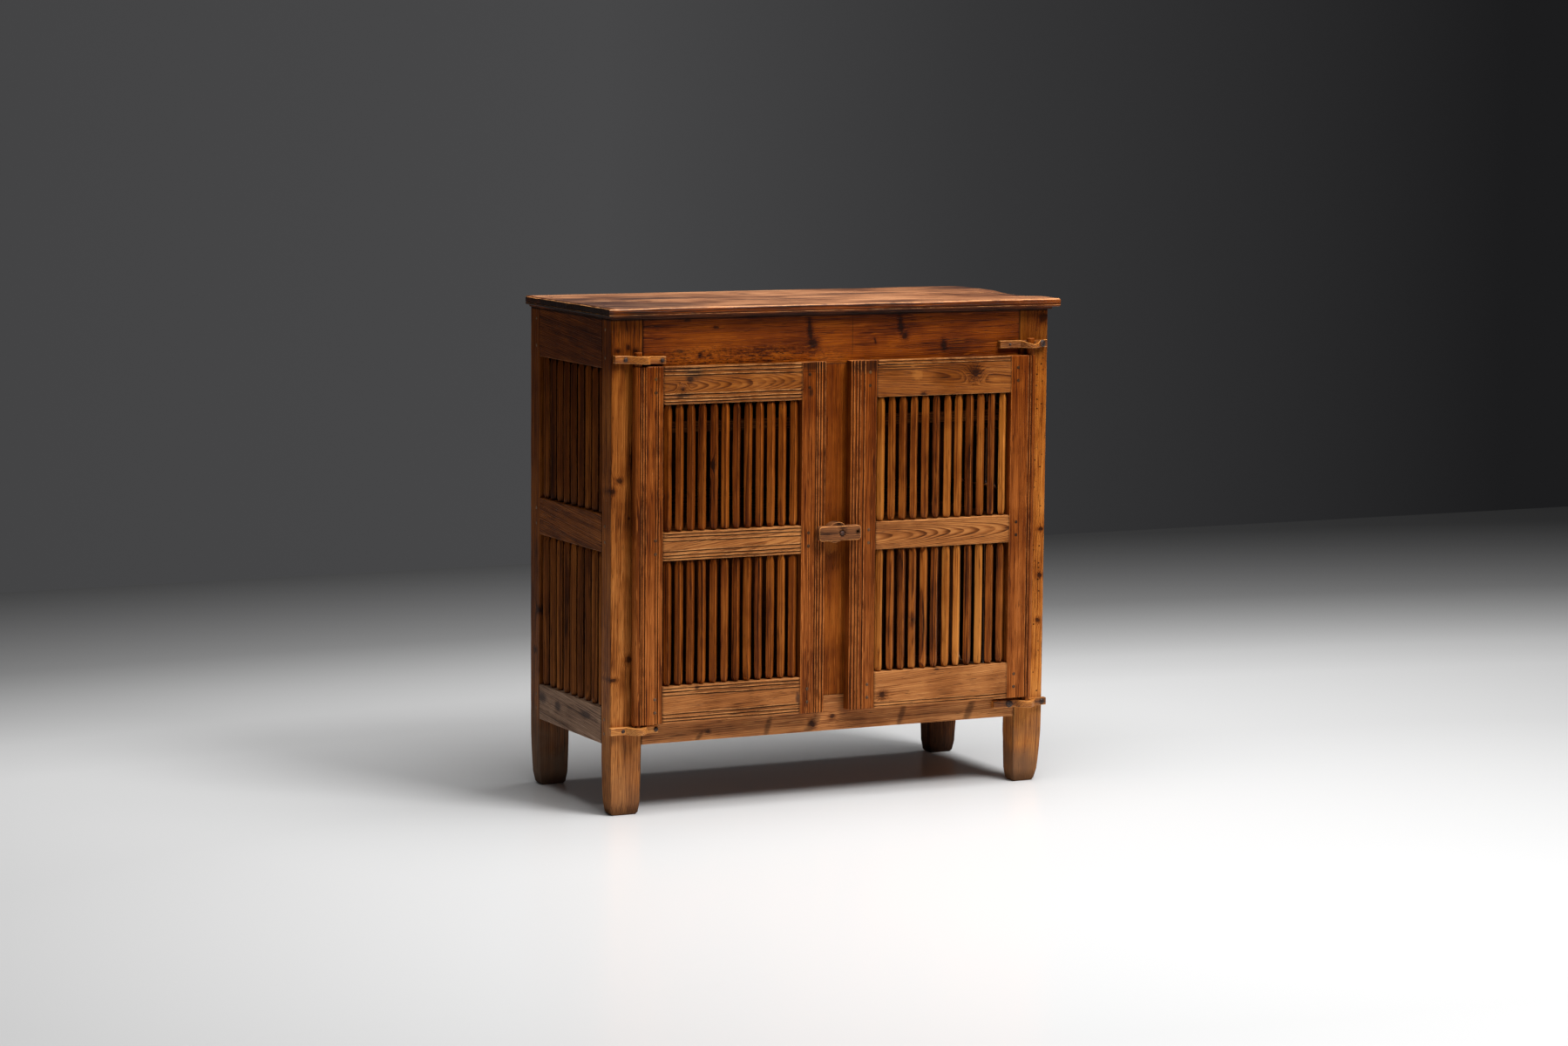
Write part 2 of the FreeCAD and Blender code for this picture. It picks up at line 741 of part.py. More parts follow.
def ear(pivot_x, reach, z, is_top):
    """A nailed ear: a bar with a bowed middle that holds one pintle."""
    x0, x1 = pivot_x - reach[0], pivot_x + reach[1]
    bow0, bow1 = pivot_x - ear_bow_half, pivot_x + ear_bow_half
    y_end = front - ear_end_d
    bow = Part.Arc(Vector(bow0, y_end, z), Vector(pivot_x, front - ear_bow_d, z),
                   Vector(bow1, y_end, z)).toShape()
    corners = [Vector(bow1, y_end, z), Vector(x1, y_end, z), Vector(x1, front, z),
               Vector(x0, front, z), Vector(x0, y_end, z), Vector(bow0, y_end, z)]
    sides = Part.makePolygon(corners).Edges
    plan = Part.Face(Part.Wire([bow] + sides))
    body = plan.extrude(Vector(0, 0, ear_t))
    hole_z = z - over if is_top else z + pintle_socket_floor
    hole = pintle(pivot_x, hole_z, z + ear_t + over, pintle_play)
    return cut_all(body, [hole] + ear_nail_holes())


def make_ears():
    """Four ears and the nails that hold them."""
    for name, (pivot_x, reach, past_bow, z, is_top) in ears.items():
        keep(name, ear(pivot_x, reach, z, is_top))
    keep("ear_nails", group([nail(point, BACKWARD, ear_nail_len)
                             for point in ear_nail_points()]))


def make_button():
    """Turn button, the disc that holds it clear of the doors, and its nail."""
    centre = Vector(button_x, front, button_z)
    y_back = front - disc_len - button_gap
    y_front = y_back - button_t
    hole_len = button_reach + over * 2
    hole = Part.makeCylinder(button_nail_r + button_nail_play, hole_len,
                             Vector(button_x, y_front - over, button_z), BACKWARD)
    disc = Part.makeCylinder(disc_r, disc_len, centre + Vector(0, 0, -disc_lower), FORWARD)
    keep("button_disc", disc.cut(hole))

    x_mid = button_x - button_off_centre
    body = block(x_mid - button_w / 2, x_mid + button_w / 2, y_front, y_back,
                 button_z - button_h / 2, button_z + button_h / 2)
    corners = [edge for edge in body.Edges if edge.BoundBox.YLength > button_t / 2]
    body = body.makeFillet(button_corner_r, corners)
    rim = [edge for edge in body.Edges
           if edge.BoundBox.YMax < y_front + button_edge_r / 2]
    body = body.makeFillet(button_edge_r, rim)
    hollow = Part.makeCone(button_hollow_r, button_nail_head_r, button_hollow_deep,
                           Vector(button_x, y_front, button_z), BACKWARD)
    small = Part.makeCylinder(button_hole_r, hole_len,
                              Vector(x_mid + button_w / 2 - button_hole_in, y_front - over,
                                     button_z), BACKWARD)
    keep("turn_button", cut_all(body, [hole, hollow, small]))

    head_y = y_front + button_hollow_deep - button_gap
    shank = Part.makeCylinder(button_nail_r, front + button_nail_bite - head_y,
                              Vector(button_x, head_y, button_z), BACKWARD)
    head = Part.makeCone(button_nail_head_r, button_nail_r, button_nail_head_t,
                         Vector(button_x, head_y, button_z), FORWARD)
    keep("button_nail", shank.fuse(head).removeSplitter())


make_posts()
make_front()
make_sides()
make_back()
make_top()
make_inside()
make_door("left", left_door_edge_in, left_door_w, left_lock_stile_w,
          (left_top_ear_z, left_bottom_ear_z), (door_bar_first_gap, door_bar_last_gap),
          rail_bead_places, stile_bead_places)
make_door("right", right_door_edge_in, right_door_w, right_lock_stile_w,
          (right_top_ear_z, right_bottom_ear_z), (door_bar_last_gap, door_bar_first_gap),
          plain_door_bead_places, plain_door_bead_places)
make_ears()
make_button()

for name, shape in finished.items():
    shape.exportStep("parts/" + name + ".step")
print(len(finished), "sub-parts,", sum(len(shape.Solids) for shape in finished.values()), "solids")
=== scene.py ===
# Looks of a low pine cupboard: worn, pegged timbers, barred doors and sides, whittled bars,
# wooden ears that hold the doors' pintles, a turn button, and wrought nails.
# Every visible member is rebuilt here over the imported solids, in their frame.
import math
import random
from functools import partial

import bpy
from mathutils import Matrix, Vector, geometry, noise


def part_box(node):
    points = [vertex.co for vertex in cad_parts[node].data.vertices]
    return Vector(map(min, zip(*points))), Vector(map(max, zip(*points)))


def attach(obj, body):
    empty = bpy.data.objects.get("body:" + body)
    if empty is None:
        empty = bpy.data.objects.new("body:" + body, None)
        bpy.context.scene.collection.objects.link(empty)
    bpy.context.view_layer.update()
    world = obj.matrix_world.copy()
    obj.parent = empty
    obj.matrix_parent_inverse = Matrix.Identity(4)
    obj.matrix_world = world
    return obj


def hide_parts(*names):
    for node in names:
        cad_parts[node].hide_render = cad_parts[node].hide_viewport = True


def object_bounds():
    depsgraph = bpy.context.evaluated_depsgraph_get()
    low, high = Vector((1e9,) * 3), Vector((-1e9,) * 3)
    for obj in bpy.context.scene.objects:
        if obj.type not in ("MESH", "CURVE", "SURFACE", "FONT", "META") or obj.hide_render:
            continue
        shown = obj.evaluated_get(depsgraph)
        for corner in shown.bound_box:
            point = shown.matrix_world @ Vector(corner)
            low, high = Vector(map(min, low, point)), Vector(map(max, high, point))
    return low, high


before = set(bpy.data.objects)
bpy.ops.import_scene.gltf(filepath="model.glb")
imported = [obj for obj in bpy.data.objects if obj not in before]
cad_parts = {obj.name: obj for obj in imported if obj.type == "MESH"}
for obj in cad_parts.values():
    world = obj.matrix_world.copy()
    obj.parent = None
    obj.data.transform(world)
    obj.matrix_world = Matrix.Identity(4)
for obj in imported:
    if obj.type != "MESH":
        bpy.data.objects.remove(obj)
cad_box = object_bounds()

MM = 0.001
SHARP = math.radians(38)
DIRECTIONS = {
    "+x": Vector((1, 0, 0)), "-x": Vector((-1, 0, 0)),
    "+y": Vector((0, 1, 0)), "-y": Vector((0, -1, 0)),
    "+z": Vector((0, 0, 1)), "-z": Vector((0, 0, -1)),
}


def heading(given):
    """A direction given by its name or as a vector."""
    return DIRECTIONS[given] if isinstance(given, str) else given


def box(node):
    """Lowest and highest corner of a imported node, in millimetres."""
    low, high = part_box(node)
    return low / MM, high / MM


def wave(a, b=0.0, c=0.0):
    """Smooth noise from -1 to 1 at a place."""
    return noise.noise(Vector((a + 0.37, b + 0.71, c + 0.13)))


def held(value):
    """A value kept between 0 and 1."""
    return min(1.0, max(0.0, value))


def fading(distance, reach):
    """1 at no distance, and 0 from reach on."""
    return max(0.0, 1 - distance / reach)


def bump_at(value, middle, half):
    """A smooth hump of height 1 round middle, 0 beyond half."""
    d = abs(value - middle) / half
    return 0.0 if d >= 1 else (1 - d * d) ** 2


def rounding(distance, radius):
    """How far a rounded edge has fallen at a distance in from it."""
    return radius - math.sqrt(max(0.0, radius ** 2 - max(0.0, radius - distance) ** 2))


def spokes(count, way=1):
    """Angle, cosine and sine at even steps round a circle."""
    angles = [2 * math.pi * i / count * way for i in range(count)]
    return [(angle, math.cos(angle), math.sin(angle)) for angle in angles]


def colour(red, green, blue):
    """A colour written as it shows on a screen, 0 to 255, made linear."""
    return tuple(((c / 255 + 0.055) / 1.055) ** 2.4 if c > 10 else c / 255 / 12.92
                 for c in (red, green, blue)) + (1.0,)


# Meshes, in millimetres
class Shell:
    """Points, faces and surface values of one piece."""

    def __init__(self):
        self.points, self.faces, self.values = [], [], []

    def add(self, at, grain, wear=0.0, dirt=0.0, tone=0.0):
        """One point with its place in the wood and how worn, dirty or light it is."""
        self.points.append(at)
        self.values.append((grain, wear, dirt, tone))
        return len(self.points) - 1

    def face(self, corners, turned=False):
        """One face, turned over where the piece's frame is left-handed."""
        self.faces.append(tuple(reversed(corners)) if turned else tuple(corners))

    def loft(self, rings, turned=False):
        """Skin a row of rings and close both ends."""
        count = len(rings[0])
        for first, second in zip(rings, rings[1:]):
            for j in range(count):
                k = (j + 1) % count
                self.face((first[j], first[k], second[k], second[j]), turned)
        self.face(rings[0][::-1], turned)
        self.face(rings[-1], turned)

    def wrap(self, upper, lower, turned=False):
        """Skin between two closed rows of points."""
        for j in range(len(upper)):
            k = (j + 1) % len(upper)
            self.face((upper[j], lower[j], lower[k], upper[k]), turned)


def piece(name, shell, material, slot, *nodes, body="carcass"):
    """Make the object, hang it on its body and hide the nodes it stands in for."""
    data = bpy.data.meshes.new(name)
    data.from_pydata([tuple(p * MM for p in at) for at in shell.points], [], shell.faces)
    grain, *layers = zip(*shell.values)
    places = data.attributes.new("grain", "FLOAT_VECTOR", "POINT")
    places.data.foreach_set("vector", [g * MM for row in grain for g in row])
    for key, values in zip(("wear", "dirt", "tone"), layers):
        data.attributes.new(key, "FLOAT", "POINT").data.foreach_set("value", values)
    data.polygons.foreach_set("use_smooth", [True] * len(data.polygons))
    data.set_sharp_from_angle(angle=SHARP)
    data.materials.append(material)
    data.update()
    made = bpy.data.objects.new(name, data)
    bpy.context.scene.collection.objects.link(made)
    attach(made, body)
    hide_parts(*nodes)


# Wear along each kind of arris, and the dirt in it
ARRISES = {"worn": ((0.45, 1.0, 1.0, 0.45), 0.0), "seam": ((0.0,) * 4, 0.75),
           "calm": ((0.2, 0.5, 0.5, 0.2), 0.0),
           "round": ((0.3, 0.35, 0.4, 0.45, 0.45, 0.4, 0.35, 0.3), 0.0)}
# How far a face's first points lie from its arris, and how wide its columns of points are
NEAR = 1.3
COLUMN = 17
# How much the first two sections of a timber's end are drawn in
END_INSET = {0: 0.75, 1: 0.22}
# Dirt in the first sections of an end that butts on a neighbour
JOINT_DIRT = (1.0, 0.9, 0.4)
# Each piece is cut from its own stretch of one long log
STRETCH = 700.0


def corner_arc(mid_u, mid_v, radius, start, kind):
    """A rounded arris of a section, a quarter turn from start."""
    wears, dirt = ARRISES[kind]
    points = []
    for step, wear in enumerate(wears):
        angle = math.radians(start + step * 90 / (len(wears) - 1))
        points.append((mid_u + radius * math.cos(angle), mid_v + radius * math.sin(angle),
                       wear, dirt))
    return points


def section(width, thick, radii, beads, columns, kinds):
    """Outline of a timber as (across, into, wear, dirt), its face first."""
    first = radii[0] + NEAR
    last = width - radii[1] - NEAR
    face = [(first, 0.0, 0.05, 0.0), (last, 0.0, 0.05, 0.0)]
    # Each groove has dirt at its bottom, and the crests beside it get wear that draws light lines
    # along them: partly rubbed wood, partly painted highlight
    for place, half, deep in beads:
        rise = 0.45 + 0.34 * deep
        face += [(place - half - 0.5, 0.0, 0.1, 0.0), (place - half, 0.06, 0.7 * rise, 0.15),
                 (place - half * 0.5, deep * 0.7, 0.0, 0.9), (place, deep, 0.0, 1.0),
                 (place + half * 0.5, deep * 0.7, 0.0, 0.9), (place + half, 0.06, 0.8 * rise, 0.15),
                 (place + half + 0.6, 0.0, rise, 0.0), (place + half * 2, 0.0, 0.8 * rise, 0.0),
                 (place + half * 2.5, 0.0, 0.1, 0.0)]
    for column in range(1, columns):
        place = first + (last - first) * column / columns
        if all(abs(place - bead[0]) > 4.0 for bead in beads):
            face.append((place, 0.0, 0.0, 0.0))
    points = corner_arc(radii[0], radii[0], radii[0], 180, kinds[0]) + sorted(face)
    points += corner_arc(width - radii[1], radii[1], radii[1], 270, kinds[1])
    if thick - radii[1] - radii[2] > NEAR * 3:
        points += [(width, radii[1] + NEAR, 0.05, 0.0), (width, thick - radii[2] - NEAR, 0.05, 0.0)]
    points += corner_arc(width - radii[2], thick - radii[2], radii[2], 0, kinds[2])
    points += [(width - radii[2] - NEAR, thick, 0.0, 0.0), (radii[3] + NEAR, thick, 0.0, 0.0)]
    points += corner_arc(radii[3], thick - radii[3], radii[3], 90, kinds[3])
    if thick - radii[0] - radii[3] > NEAR * 3:
        points += [(0.0, thick - radii[3] - NEAR, 0.05, 0.0), (0.0, radii[0] + NEAR, 0.05, 0.0)]
    return points


def stations(length, step, close):
    """Places along a piece, close together near both ends."""
    middle = length - 2 * close[-1]
    count = max(1, round(middle / step))
    inner = [close[-1] + middle * i / count for i in range(1, count)]
    return list(close) + inner + [length - c for c in reversed(close)]


def timber(shell, corner, along, across, into, size, arris=0.9, beads=(), ends="jj", pith=None,
           lean=(0.0, 0.0), seed=0, round_edge=None, shape=None, drift=None, tone=0.0,
           step=22.0, rough=0.22, dents=0.0, close=(0.0, 0.45, 1.6, 5.0), seams=(),
           edges="worn"):
    """A squared timber swept along its grain, with worn arrises and scratched beads.

    ends has a letter for each end: j for one that butts on a neighbour, f for a free one.
    seams are the numbers of the arrises that lie against a neighbour. tone may also be a function
    of the place along and across the piece.
    """
    length, width, thick = size
    corner = Vector(corner)
    run, side, deep = (heading(given) for given in (along, across, into))
    turned = run.cross(side).dot(deep) < 0
    chance = random.Random(seed * 7 + 3)
    if pith is None:
        pith = (chance.choice((-0.6, 1.6)) * width - chance.uniform(10, 50),
                thick + chance.uniform(18, 50))
    places = stations(length, step, close)
    last = len(places) - 1
    columns = max(1, round(width / COLUMN))
    kinds = ["seam" if edge in seams else edges for edge in range(4)]
    if round_edge:
        kinds[0] = kinds[3] = "round"
    rings = []
    for number, at in enumerate(places):
        trim = shape(at) if shape else (0.0,) * 4
        radii = [arris * (1.0 + 0.45 * wave(at / 34, edge * 5.1, seed))
                 + max(0.0, wave(at / 13, edge * 3.3, seed + 4.4) - 0.42) * dents * 6
                 for edge in range(4)]
        if round_edge:
            radii[0] = radii[3] = round_edge
        moved = [(place + wander * wave(at / 60, place, seed) + slant * (at / length - 0.5) - trim[0],
                  half, deep_cut * (1 + 0.35 * wave(at / 25, place, seed + 9)))
                 for place, half, deep_cut, wander, slant in beads]
        wide = width - trim[0] - trim[1]
        tall = thick - trim[2] - trim[3]
        from_end = min(number, last - number)
        letter = ends[0] if number < last / 2 else ends[1]
        inset = END_INSET.get(from_end, 0.0)
        shift = drift(at) if drift else (0.0, 0.0)
        ring = []
        for u, v, wear, dirt in section(wide, tall, radii, moved, columns, kinds):
            u_in = wide / 2 + (u - wide / 2) * (1 - 2 * inset / wide) + trim[0]
            v_in = tall / 2 + (v - tall / 2) * (1 - 2 * inset / tall) + trim[2]
            if from_end > 1:
                v_in += rough * wave(at / 70, u / 40, seed + v / 30)
            if from_end < 3 and letter == "j":
                dirt = max(dirt, JOINT_DIRT[from_end])
                wear *= 0.4
            elif from_end < 2:
                wear = max(wear, 0.8)
            place = corner + run * at + side * (u_in + shift[0]) + deep * (v_in + shift[1])
            wood = (at + STRETCH * seed, u_in - pith[0] - lean[0] * at, v_in - pith[1] - lean[1] * at)
            shown = tone(at, u_in) if callable(tone) else tone
            ring.append(shell.add(place, wood, wear, dirt, shown))
        rings.append(ring)
    shell.loft(rings, turned)


def beam(name, node, material, slot, *lie, body="carcass", **options):
    """A timber that is a piece of its own."""
    shell = Shell()
    timber(shell, *lie, **options)
    piece(name, shell, material, slot, node, body=body)


def offset(points, distance):
    """A closed outline moved to its left by distance."""
    moved = []
    count = len(points)
    for i in range(count):
        before = (points[i] - points[i - 1]).normalized()
        after = (points[(i + 1) % count] - points[i]).normalized()
        left_before = Vector((-before.y, before.x))
        middle = (left_before + Vector((-after.y, after.x))).normalized()
        spread = max(0.5, middle.dot(left_before))
        moved.append(points[i] + middle * (distance / spread))
    return moved


def inside(point, outline):
    """Whether a point lies within a closed outline."""
    found = False
    for i in range(len(outline)):
        a, b = outline[i - 1], outline[i]
        if (a.y > point.y) != (b.y > point.y):
            if point.x < (b.x - a.x) * (point.y - a.y) / (b.y - a.y) + a.x:
                found = not found
    return found


# Steps of a softened edge: how far in, how far down, and the wear there
EDGE_STEPS = ((1.0, 0.0, 0.4), (0.5, 0.134, 1.0), (0.134, 0.5, 1.0), (0.0, 1.0, 0.4))
HOLE_SOFT_SHARE = 0.35


def plate(shell, place, outline, thick, soft, wood, holes=(), lift=None, grid=9.0, levels=1):
    """A flat piece cut to an outline, with softened edges.

    place and wood set a point in the frame and in the log. The outline runs anticlockwise and
    holes run clockwise. lift moves the upper face.
    """
    low, high = thick
    origin = place(0, 0, 0)
    ways = [place(*way) - origin for way in ((1, 0, 0), (0, 1, 0), (0, 0, 1))]
    turned = ways[0].cross(ways[1]).dot(ways[2]) < 0
    loops = [outline] + list(holes)
    shares = [1.0] + [HOLE_SOFT_SHARE] * len(holes)
    rows = [(soft * a, high - soft * b, wear) for a, b, wear in EDGE_STEPS]
    for level in range(1, levels):
        rows.append((0.0, high - soft - (high - low - 2 * soft) * level / levels, 0.0))
    rows += [(soft * a, low + soft * b, wear) for a, b, wear in reversed(EDGE_STEPS)]

    def add(flat, height, wear, dirt):
        up = (height - low) / (high - low)
        raised = height + (lift(flat.x, flat.y) * up if lift else 0.0)
        at = flat.x, flat.y, raised
        return shell.add(place(*at), wood(*at), wear, dirt)

    rings = []
    for inset, height, wear in rows:
        rings.append([[add(p, height, wear, 1.0 if number else 0.0)
                       for p in offset(loop, inset * shares[number])]
                      for number, loop in enumerate(loops)])
    for upper, lower in zip(rings, rings[1:]):
        for loop_up, loop_down in zip(upper, lower):
            shell.wrap(loop_up, loop_down, turned)
    limits = [offset(loop, soft * share + grid * 0.35) for loop, share in zip(loops, shares)]
    bounds = [offset(loop, soft * share) for loop, share in zip(loops, shares)]
    xs, ys = zip(*outline)
    for top_side, level_rings, height in ((True, rings[0], high), (False, rings[-1], low)):
        flats, indices, edges = [], [], []
        for inner, ring in zip(bounds, level_rings):
            start = len(flats)
            flats += inner
            indices += ring
            edges += [(start + j, start + (j + 1) % len(inner)) for j in range(len(inner))]
        for i in range(1, int((max(xs) - min(xs)) / grid) + 1):
            for j in range(1, int((max(ys) - min(ys)) / grid) + 1):
                spot = Vector((min(xs) + grid * (i - 0.5), min(ys) + grid * (j - 0.5)))
                if inside(spot, limits[0]) and not any(inside(spot, h) for h in limits[1:]):
                    flats.append(spot)
                    indices.append(add(spot, height, 0.0, 0.0))
        found = geometry.delaunay_2d_cdt(flats, edges, [], 0, 0.001)
        for corners in found[2]:
            middle = sum((found[0][c] for c in corners), Vector((0, 0))) / len(corners)
            if not inside(middle, bounds[0]) or any(inside(middle, h) for h in bounds[1:]):
                continue
            real = [indices[found[3][c][0]] for c in corners]
            a, b, c = (found[0][c] for c in corners[:3])
            if ((b - a).cross(c - a) > 0) != top_side:
                real.reverse()
            shell.face(real, turned)


def hole(x, y, radius, count):
    """A round hole's outline."""
    return [Vector((x + radius * c, y + radius * s)) for _, c, s in spokes(count, -1)]


def rod(shell, start, direction, length, radius, soft=1.0, sides=20, tone=0.0, wear=0.3,
        dirt=0.0, uneven=0.0, seed=0):
    """A whittled round pin with softened ends."""
    start = Vector(start)
    run = heading(direction)
    side = run.orthogonal().normalized()
    deep = run.cross(side)
    rows = [(soft * a, soft * b) for a, b in ((0.0, 1.0), (0.13, 0.5), (0.5, 0.13), (1.0, 0.0))]
    rows += [(length - at, inset) for at, inset in reversed(rows)]
    rings = []
    for at, inset in rows:
        ring = []
        for _, c, s in spokes(sides):
            away = (radius - inset) * (1 + uneven * wave(c * 1.7, s * 1.7, seed))
            u, v = away * c, away * s
            ring.append(shell.add(start + run * at + side * u + deep * v,
                                  (at + 90.0 * seed, u + 12, v + 9), wear if inset else 0.1, dirt,
                                  tone))
        rings.append(ring)
    shell.loft(rings)


# Sections of a nail's head: share of its radius and of its height
NAIL_STEPS = ((1.0, -0.6), (1.06, 0.0), (0.98, 0.45), (0.72, 0.85), (0.3, 1.0))
NAIL_SIDES = 10


def nail_head(shell, at, outward, radius=3.3, height=1.0, seed=0):
    """A hammered nail head: a low, uneven dome with flats."""
    at = Vector(at)
    run = heading(outward)
    side = run.orthogonal().normalized()
    deep = run.cross(side)
    rings = []
    for share, rise in NAIL_STEPS:
        ring = []
        for angle, c, s in spokes(NAIL_SIDES):
            away = radius * share * (1 + 0.2 * wave(c * 1.3, s * 1.3, seed * 3.7))
            lift = height * rise * (1 + 0.3 * wave(c * 2, share * 3, seed * 1.9))
            place = at + run * lift + side * away * c + deep * away * s
            ring.append(shell.add(place, (away + 31.0 * seed, lift, angle), 0.6 if rise > 0.4 else 0))
        rings.append(ring)
    shell.loft(rings)


def nails(name, node, rows):
    """A piece of several nail heads, numbered from 1."""
    shell = Shell()
    for number, row in enumerate(rows, 1):
        nail_head(shell, *row, seed=number)
    piece(name, shell, IRON, "iron", node)


# Shader nodes
class Graph:
    """Short calls that wire shader nodes."""

    def __init__(self, tree):
        self.tree = tree

    def add(self, kind, **settings):
        """A new node with its settings."""
        node = self.tree.nodes.new("ShaderNode" + kind)
        for key, value in settings.items():
            setattr(node, key, value)
        return node

    def feed(self, socket, value):
        """Link a socket, or set it to a plain value."""
        if isinstance(value, bpy.types.NodeSocket):
            self.tree.links.new(value, socket)
        else:
            socket.default_value = value

    def fed(self, kind, values, out=0, **settings):
        """An output of a new node whose first inputs are fed, but for those that are None."""
        node = self.add(kind, **settings)
        for socket, value in zip(node.inputs, values):
            if value is not None:
                self.feed(socket, value)
        return node.outputs[out]

    def math(self, operation, *values, clamp=False):
        """One sum of up to three values."""
        return self.fed("Math", values, operation=operation, use_clamp=clamp)

    def times(self, a, b, clamp=False):
        """a times b."""
        return self.math("MULTIPLY", a, b, clamp=clamp)

    def plus(self, a, b):
        """a plus b."""
        return self.math("ADD", a, b)

    def minus(self, a, b):
        """a minus b."""
        return self.math("SUBTRACT", a, b)

    def mixed(self, a, b, c, clamp=False):
        """a times b, plus c."""
        return self.math("MULTIPLY_ADD", a, b, c, clamp=clamp)

    def step(self, value, low, high, to_low=0.0, to_high=1.0):
        """Value eased from one range to another."""
        return self.fed("MapRange", (value, low, high, to_low, to_high),
                        interpolation_type="SMOOTHSTEP")

    def fall(self, value, low, high):
        """1 up to low, eased to 0 at high."""
        return self.step(value, low, high, 1.0, 0.0)

    def vector(self, operation, *values, out=0):
        """One sum of vectors; out is 1 where the answer is a number."""
        return self.fed("VectorMath", values, out, operation=operation)

    def parts(self, vector):
        """The three numbers of a vector."""
        return self.fed("SeparateXYZ", (vector,)).node.outputs

    def noise(self, vector, scale=1.0, detail=1.0, rough=0.5, out=0):
        """Noise at a vector."""
        return self.fed("TexNoise", (vector, None, scale, detail, rough), out)

    def streaks(self, vector, along, across, detail=1.0, rough=0.5, out=0):
        """Noise drawn out along the grain."""
        drawn = self.vector("MULTIPLY", vector, (along, across, across))
        return self.noise(drawn, 1.0, detail, rough, out)

    def line(self, x, y=0.0):
        """Noise along one or two values."""
        return self.noise(self.fed("CombineXYZ", (x, y, 0.0)))

    def blend(self, a, b, factor, mode="MIX"):
        """Two colours mixed."""
        return self.fed("Mix", (factor,) + (None,) * 5 + (a, b), 2, data_type="RGBA",
                        blend_type=mode, clamp_factor=True)

    def ramp(self, value, stops):
        """Colours along a value."""
        node = self.add("ValToRGB")
        elements = node.color_ramp.elements
        while len(elements) < len(stops):
            elements.new(0.5)
        for element, (at, shade) in zip(elements, stops):
            element.position = at
            element.color = shade
        self.feed(node.inputs[0], value)
        return node.outputs[0]

    def attribute(self, name, output="Fac"):
        """A value stored on the mesh."""
        return self.add("Attribute", attribute_name=name).outputs[output]

    def use(self, tree, **given):
        """A node group with its inputs given by name."""
        node = self.add("Group", node_tree=tree)
        for key, value in given.items():
            self.feed(node.inputs[key], value)
        return node.outputs

    def relief(self, shader, height, strength, distance):
        """Bumps from a height."""
        bump = self.add("Bump")
        self.feed(bump.inputs["Height"], height)
        bump.inputs["Strength"].default_value = strength
        bump.inputs["Distance"].default_value = distance
        self.feed(shader.inputs["Normal"], bump.outputs[0])


def surface(name):
    """A new material, the graph that feeds it, and its shader."""
    material = bpy.data.materials.new(name)
    material.use_nodes = True
    tree = material.node_tree
    tree.nodes.clear()
    graph = Graph(tree)
    shader = graph.add("BsdfPrincipled")
    graph.feed(graph.add("OutputMaterial").inputs[0], shader.outputs[0])
    return material, graph, shader


def new_group(name, inputs, outputs):
    """An empty shader group, the graph in it and its inputs and outputs; None is for a vector."""
    tree = bpy.data.node_groups.new(name, "ShaderNodeTree")
    for label, value in inputs.items():
        kind = "NodeSocketVector" if value is None else "NodeSocketFloat"
        socket = tree.interface.new_socket(label, in_out="INPUT", socket_type=kind)
        if value is not None:
            socket.default_value = value
    for label in outputs:
        tree.interface.new_socket(label, in_out="OUTPUT", socket_type="NodeSocketFloat")
    entry = tree.nodes.new("NodeGroupInput")
    leave = tree.nodes.new("NodeGroupOutput")
    return tree, Graph(tree), entry.outputs, leave.inputs


def make_rings():
    """Growth rings round a pith, from a place in the wood."""
    tree, g, given, out = new_group(
        "growth_rings", {"Grain": None, "Spacing": 0.003, "Bend": 0.008, "Push": 0.0},
        ("Late", "Slow"))
    grain = given["Grain"]
    along, across, into = g.parts(grain)
    drift = g.parts(g.streaks(grain, 2.2, 9.0, 2.0, out=1))
    small = g.parts(g.streaks(grain, 9.0, 55.0, out=1))
    moved = []
    for place, slow, quick in ((across, drift[0], small[0]), (into, drift[1], small[1])):
        away = g.times(g.minus(slow, 0.5), given["Bend"])
        fine = g.times(g.minus(quick, 0.5), 0.0016)
        moved.append(g.plus(place, g.plus(away, fine)))
    square = g.plus(g.times(moved[0], moved[0]), g.times(moved[1], moved[1]))
    radius = g.plus(g.math("SQRT", square), given["Push"])
    uneven = g.line(g.times(radius, 95.0))
    count = g.plus(g.math("DIVIDE", radius, given["Spacing"]), g.times(g.minus(uneven, 0.5), 3.0))
    part = g.math("FRACT", count)
    whole = g.add("TexWhiteNoise", noise_dimensions="1D")
    g.feed(whole.inputs["W"], g.math("FLOOR", count))
    strength = g.mixed(whole.outputs["Value"], 0.6, 0.4)
    late = g.times(g.step(part, 0.2, 0.86), g.fall(part, 0.9, 1.0))
    g.feed(out["Late"], g.times(late, strength))
    g.feed(out["Slow"], g.line(g.times(radius, 34.0), g.times(along, 0.6)))
    return tree


def make_fibre():
    """Fine streaks, short dark dashes and fine specks along the grain."""
    tree, g, given, out = new_group("fibre", {"Grain": None},
                                    ("Streak", "Dash", "Cloud", "Line", "Fleck"))
    streaks = partial(g.streaks, given["Grain"])
    g.feed(out["Streak"], g.mixed(streaks(9.0, 430.0, 4.0, 0.7), 0.55,
                                  g.times(streaks(4.0, 130.0, 3.0, 0.6), 0.45)))
    g.feed(out["Dash"], g.step(streaks(34.0, 520.0), 0.66, 0.74))
    field = streaks(1.6, 78.0, 3.0, 0.6)
    near = g.math("ABSOLUTE", g.minus(g.math("FRACT", g.times(field, 7.0)), 0.5))
    g.feed(out["Line"], g.times(g.fall(near, 0.02, 0.17), g.step(streaks(6.0, 40.0, 2.0), 0.4, 0.6)))
    g.feed(out["Cloud"], streaks(5.0, 34.0, 3.0, 0.55))
    g.feed(out["Fleck"], g.step(streaks(21.0, 380.0), 0.62, 0.72))
    return tree


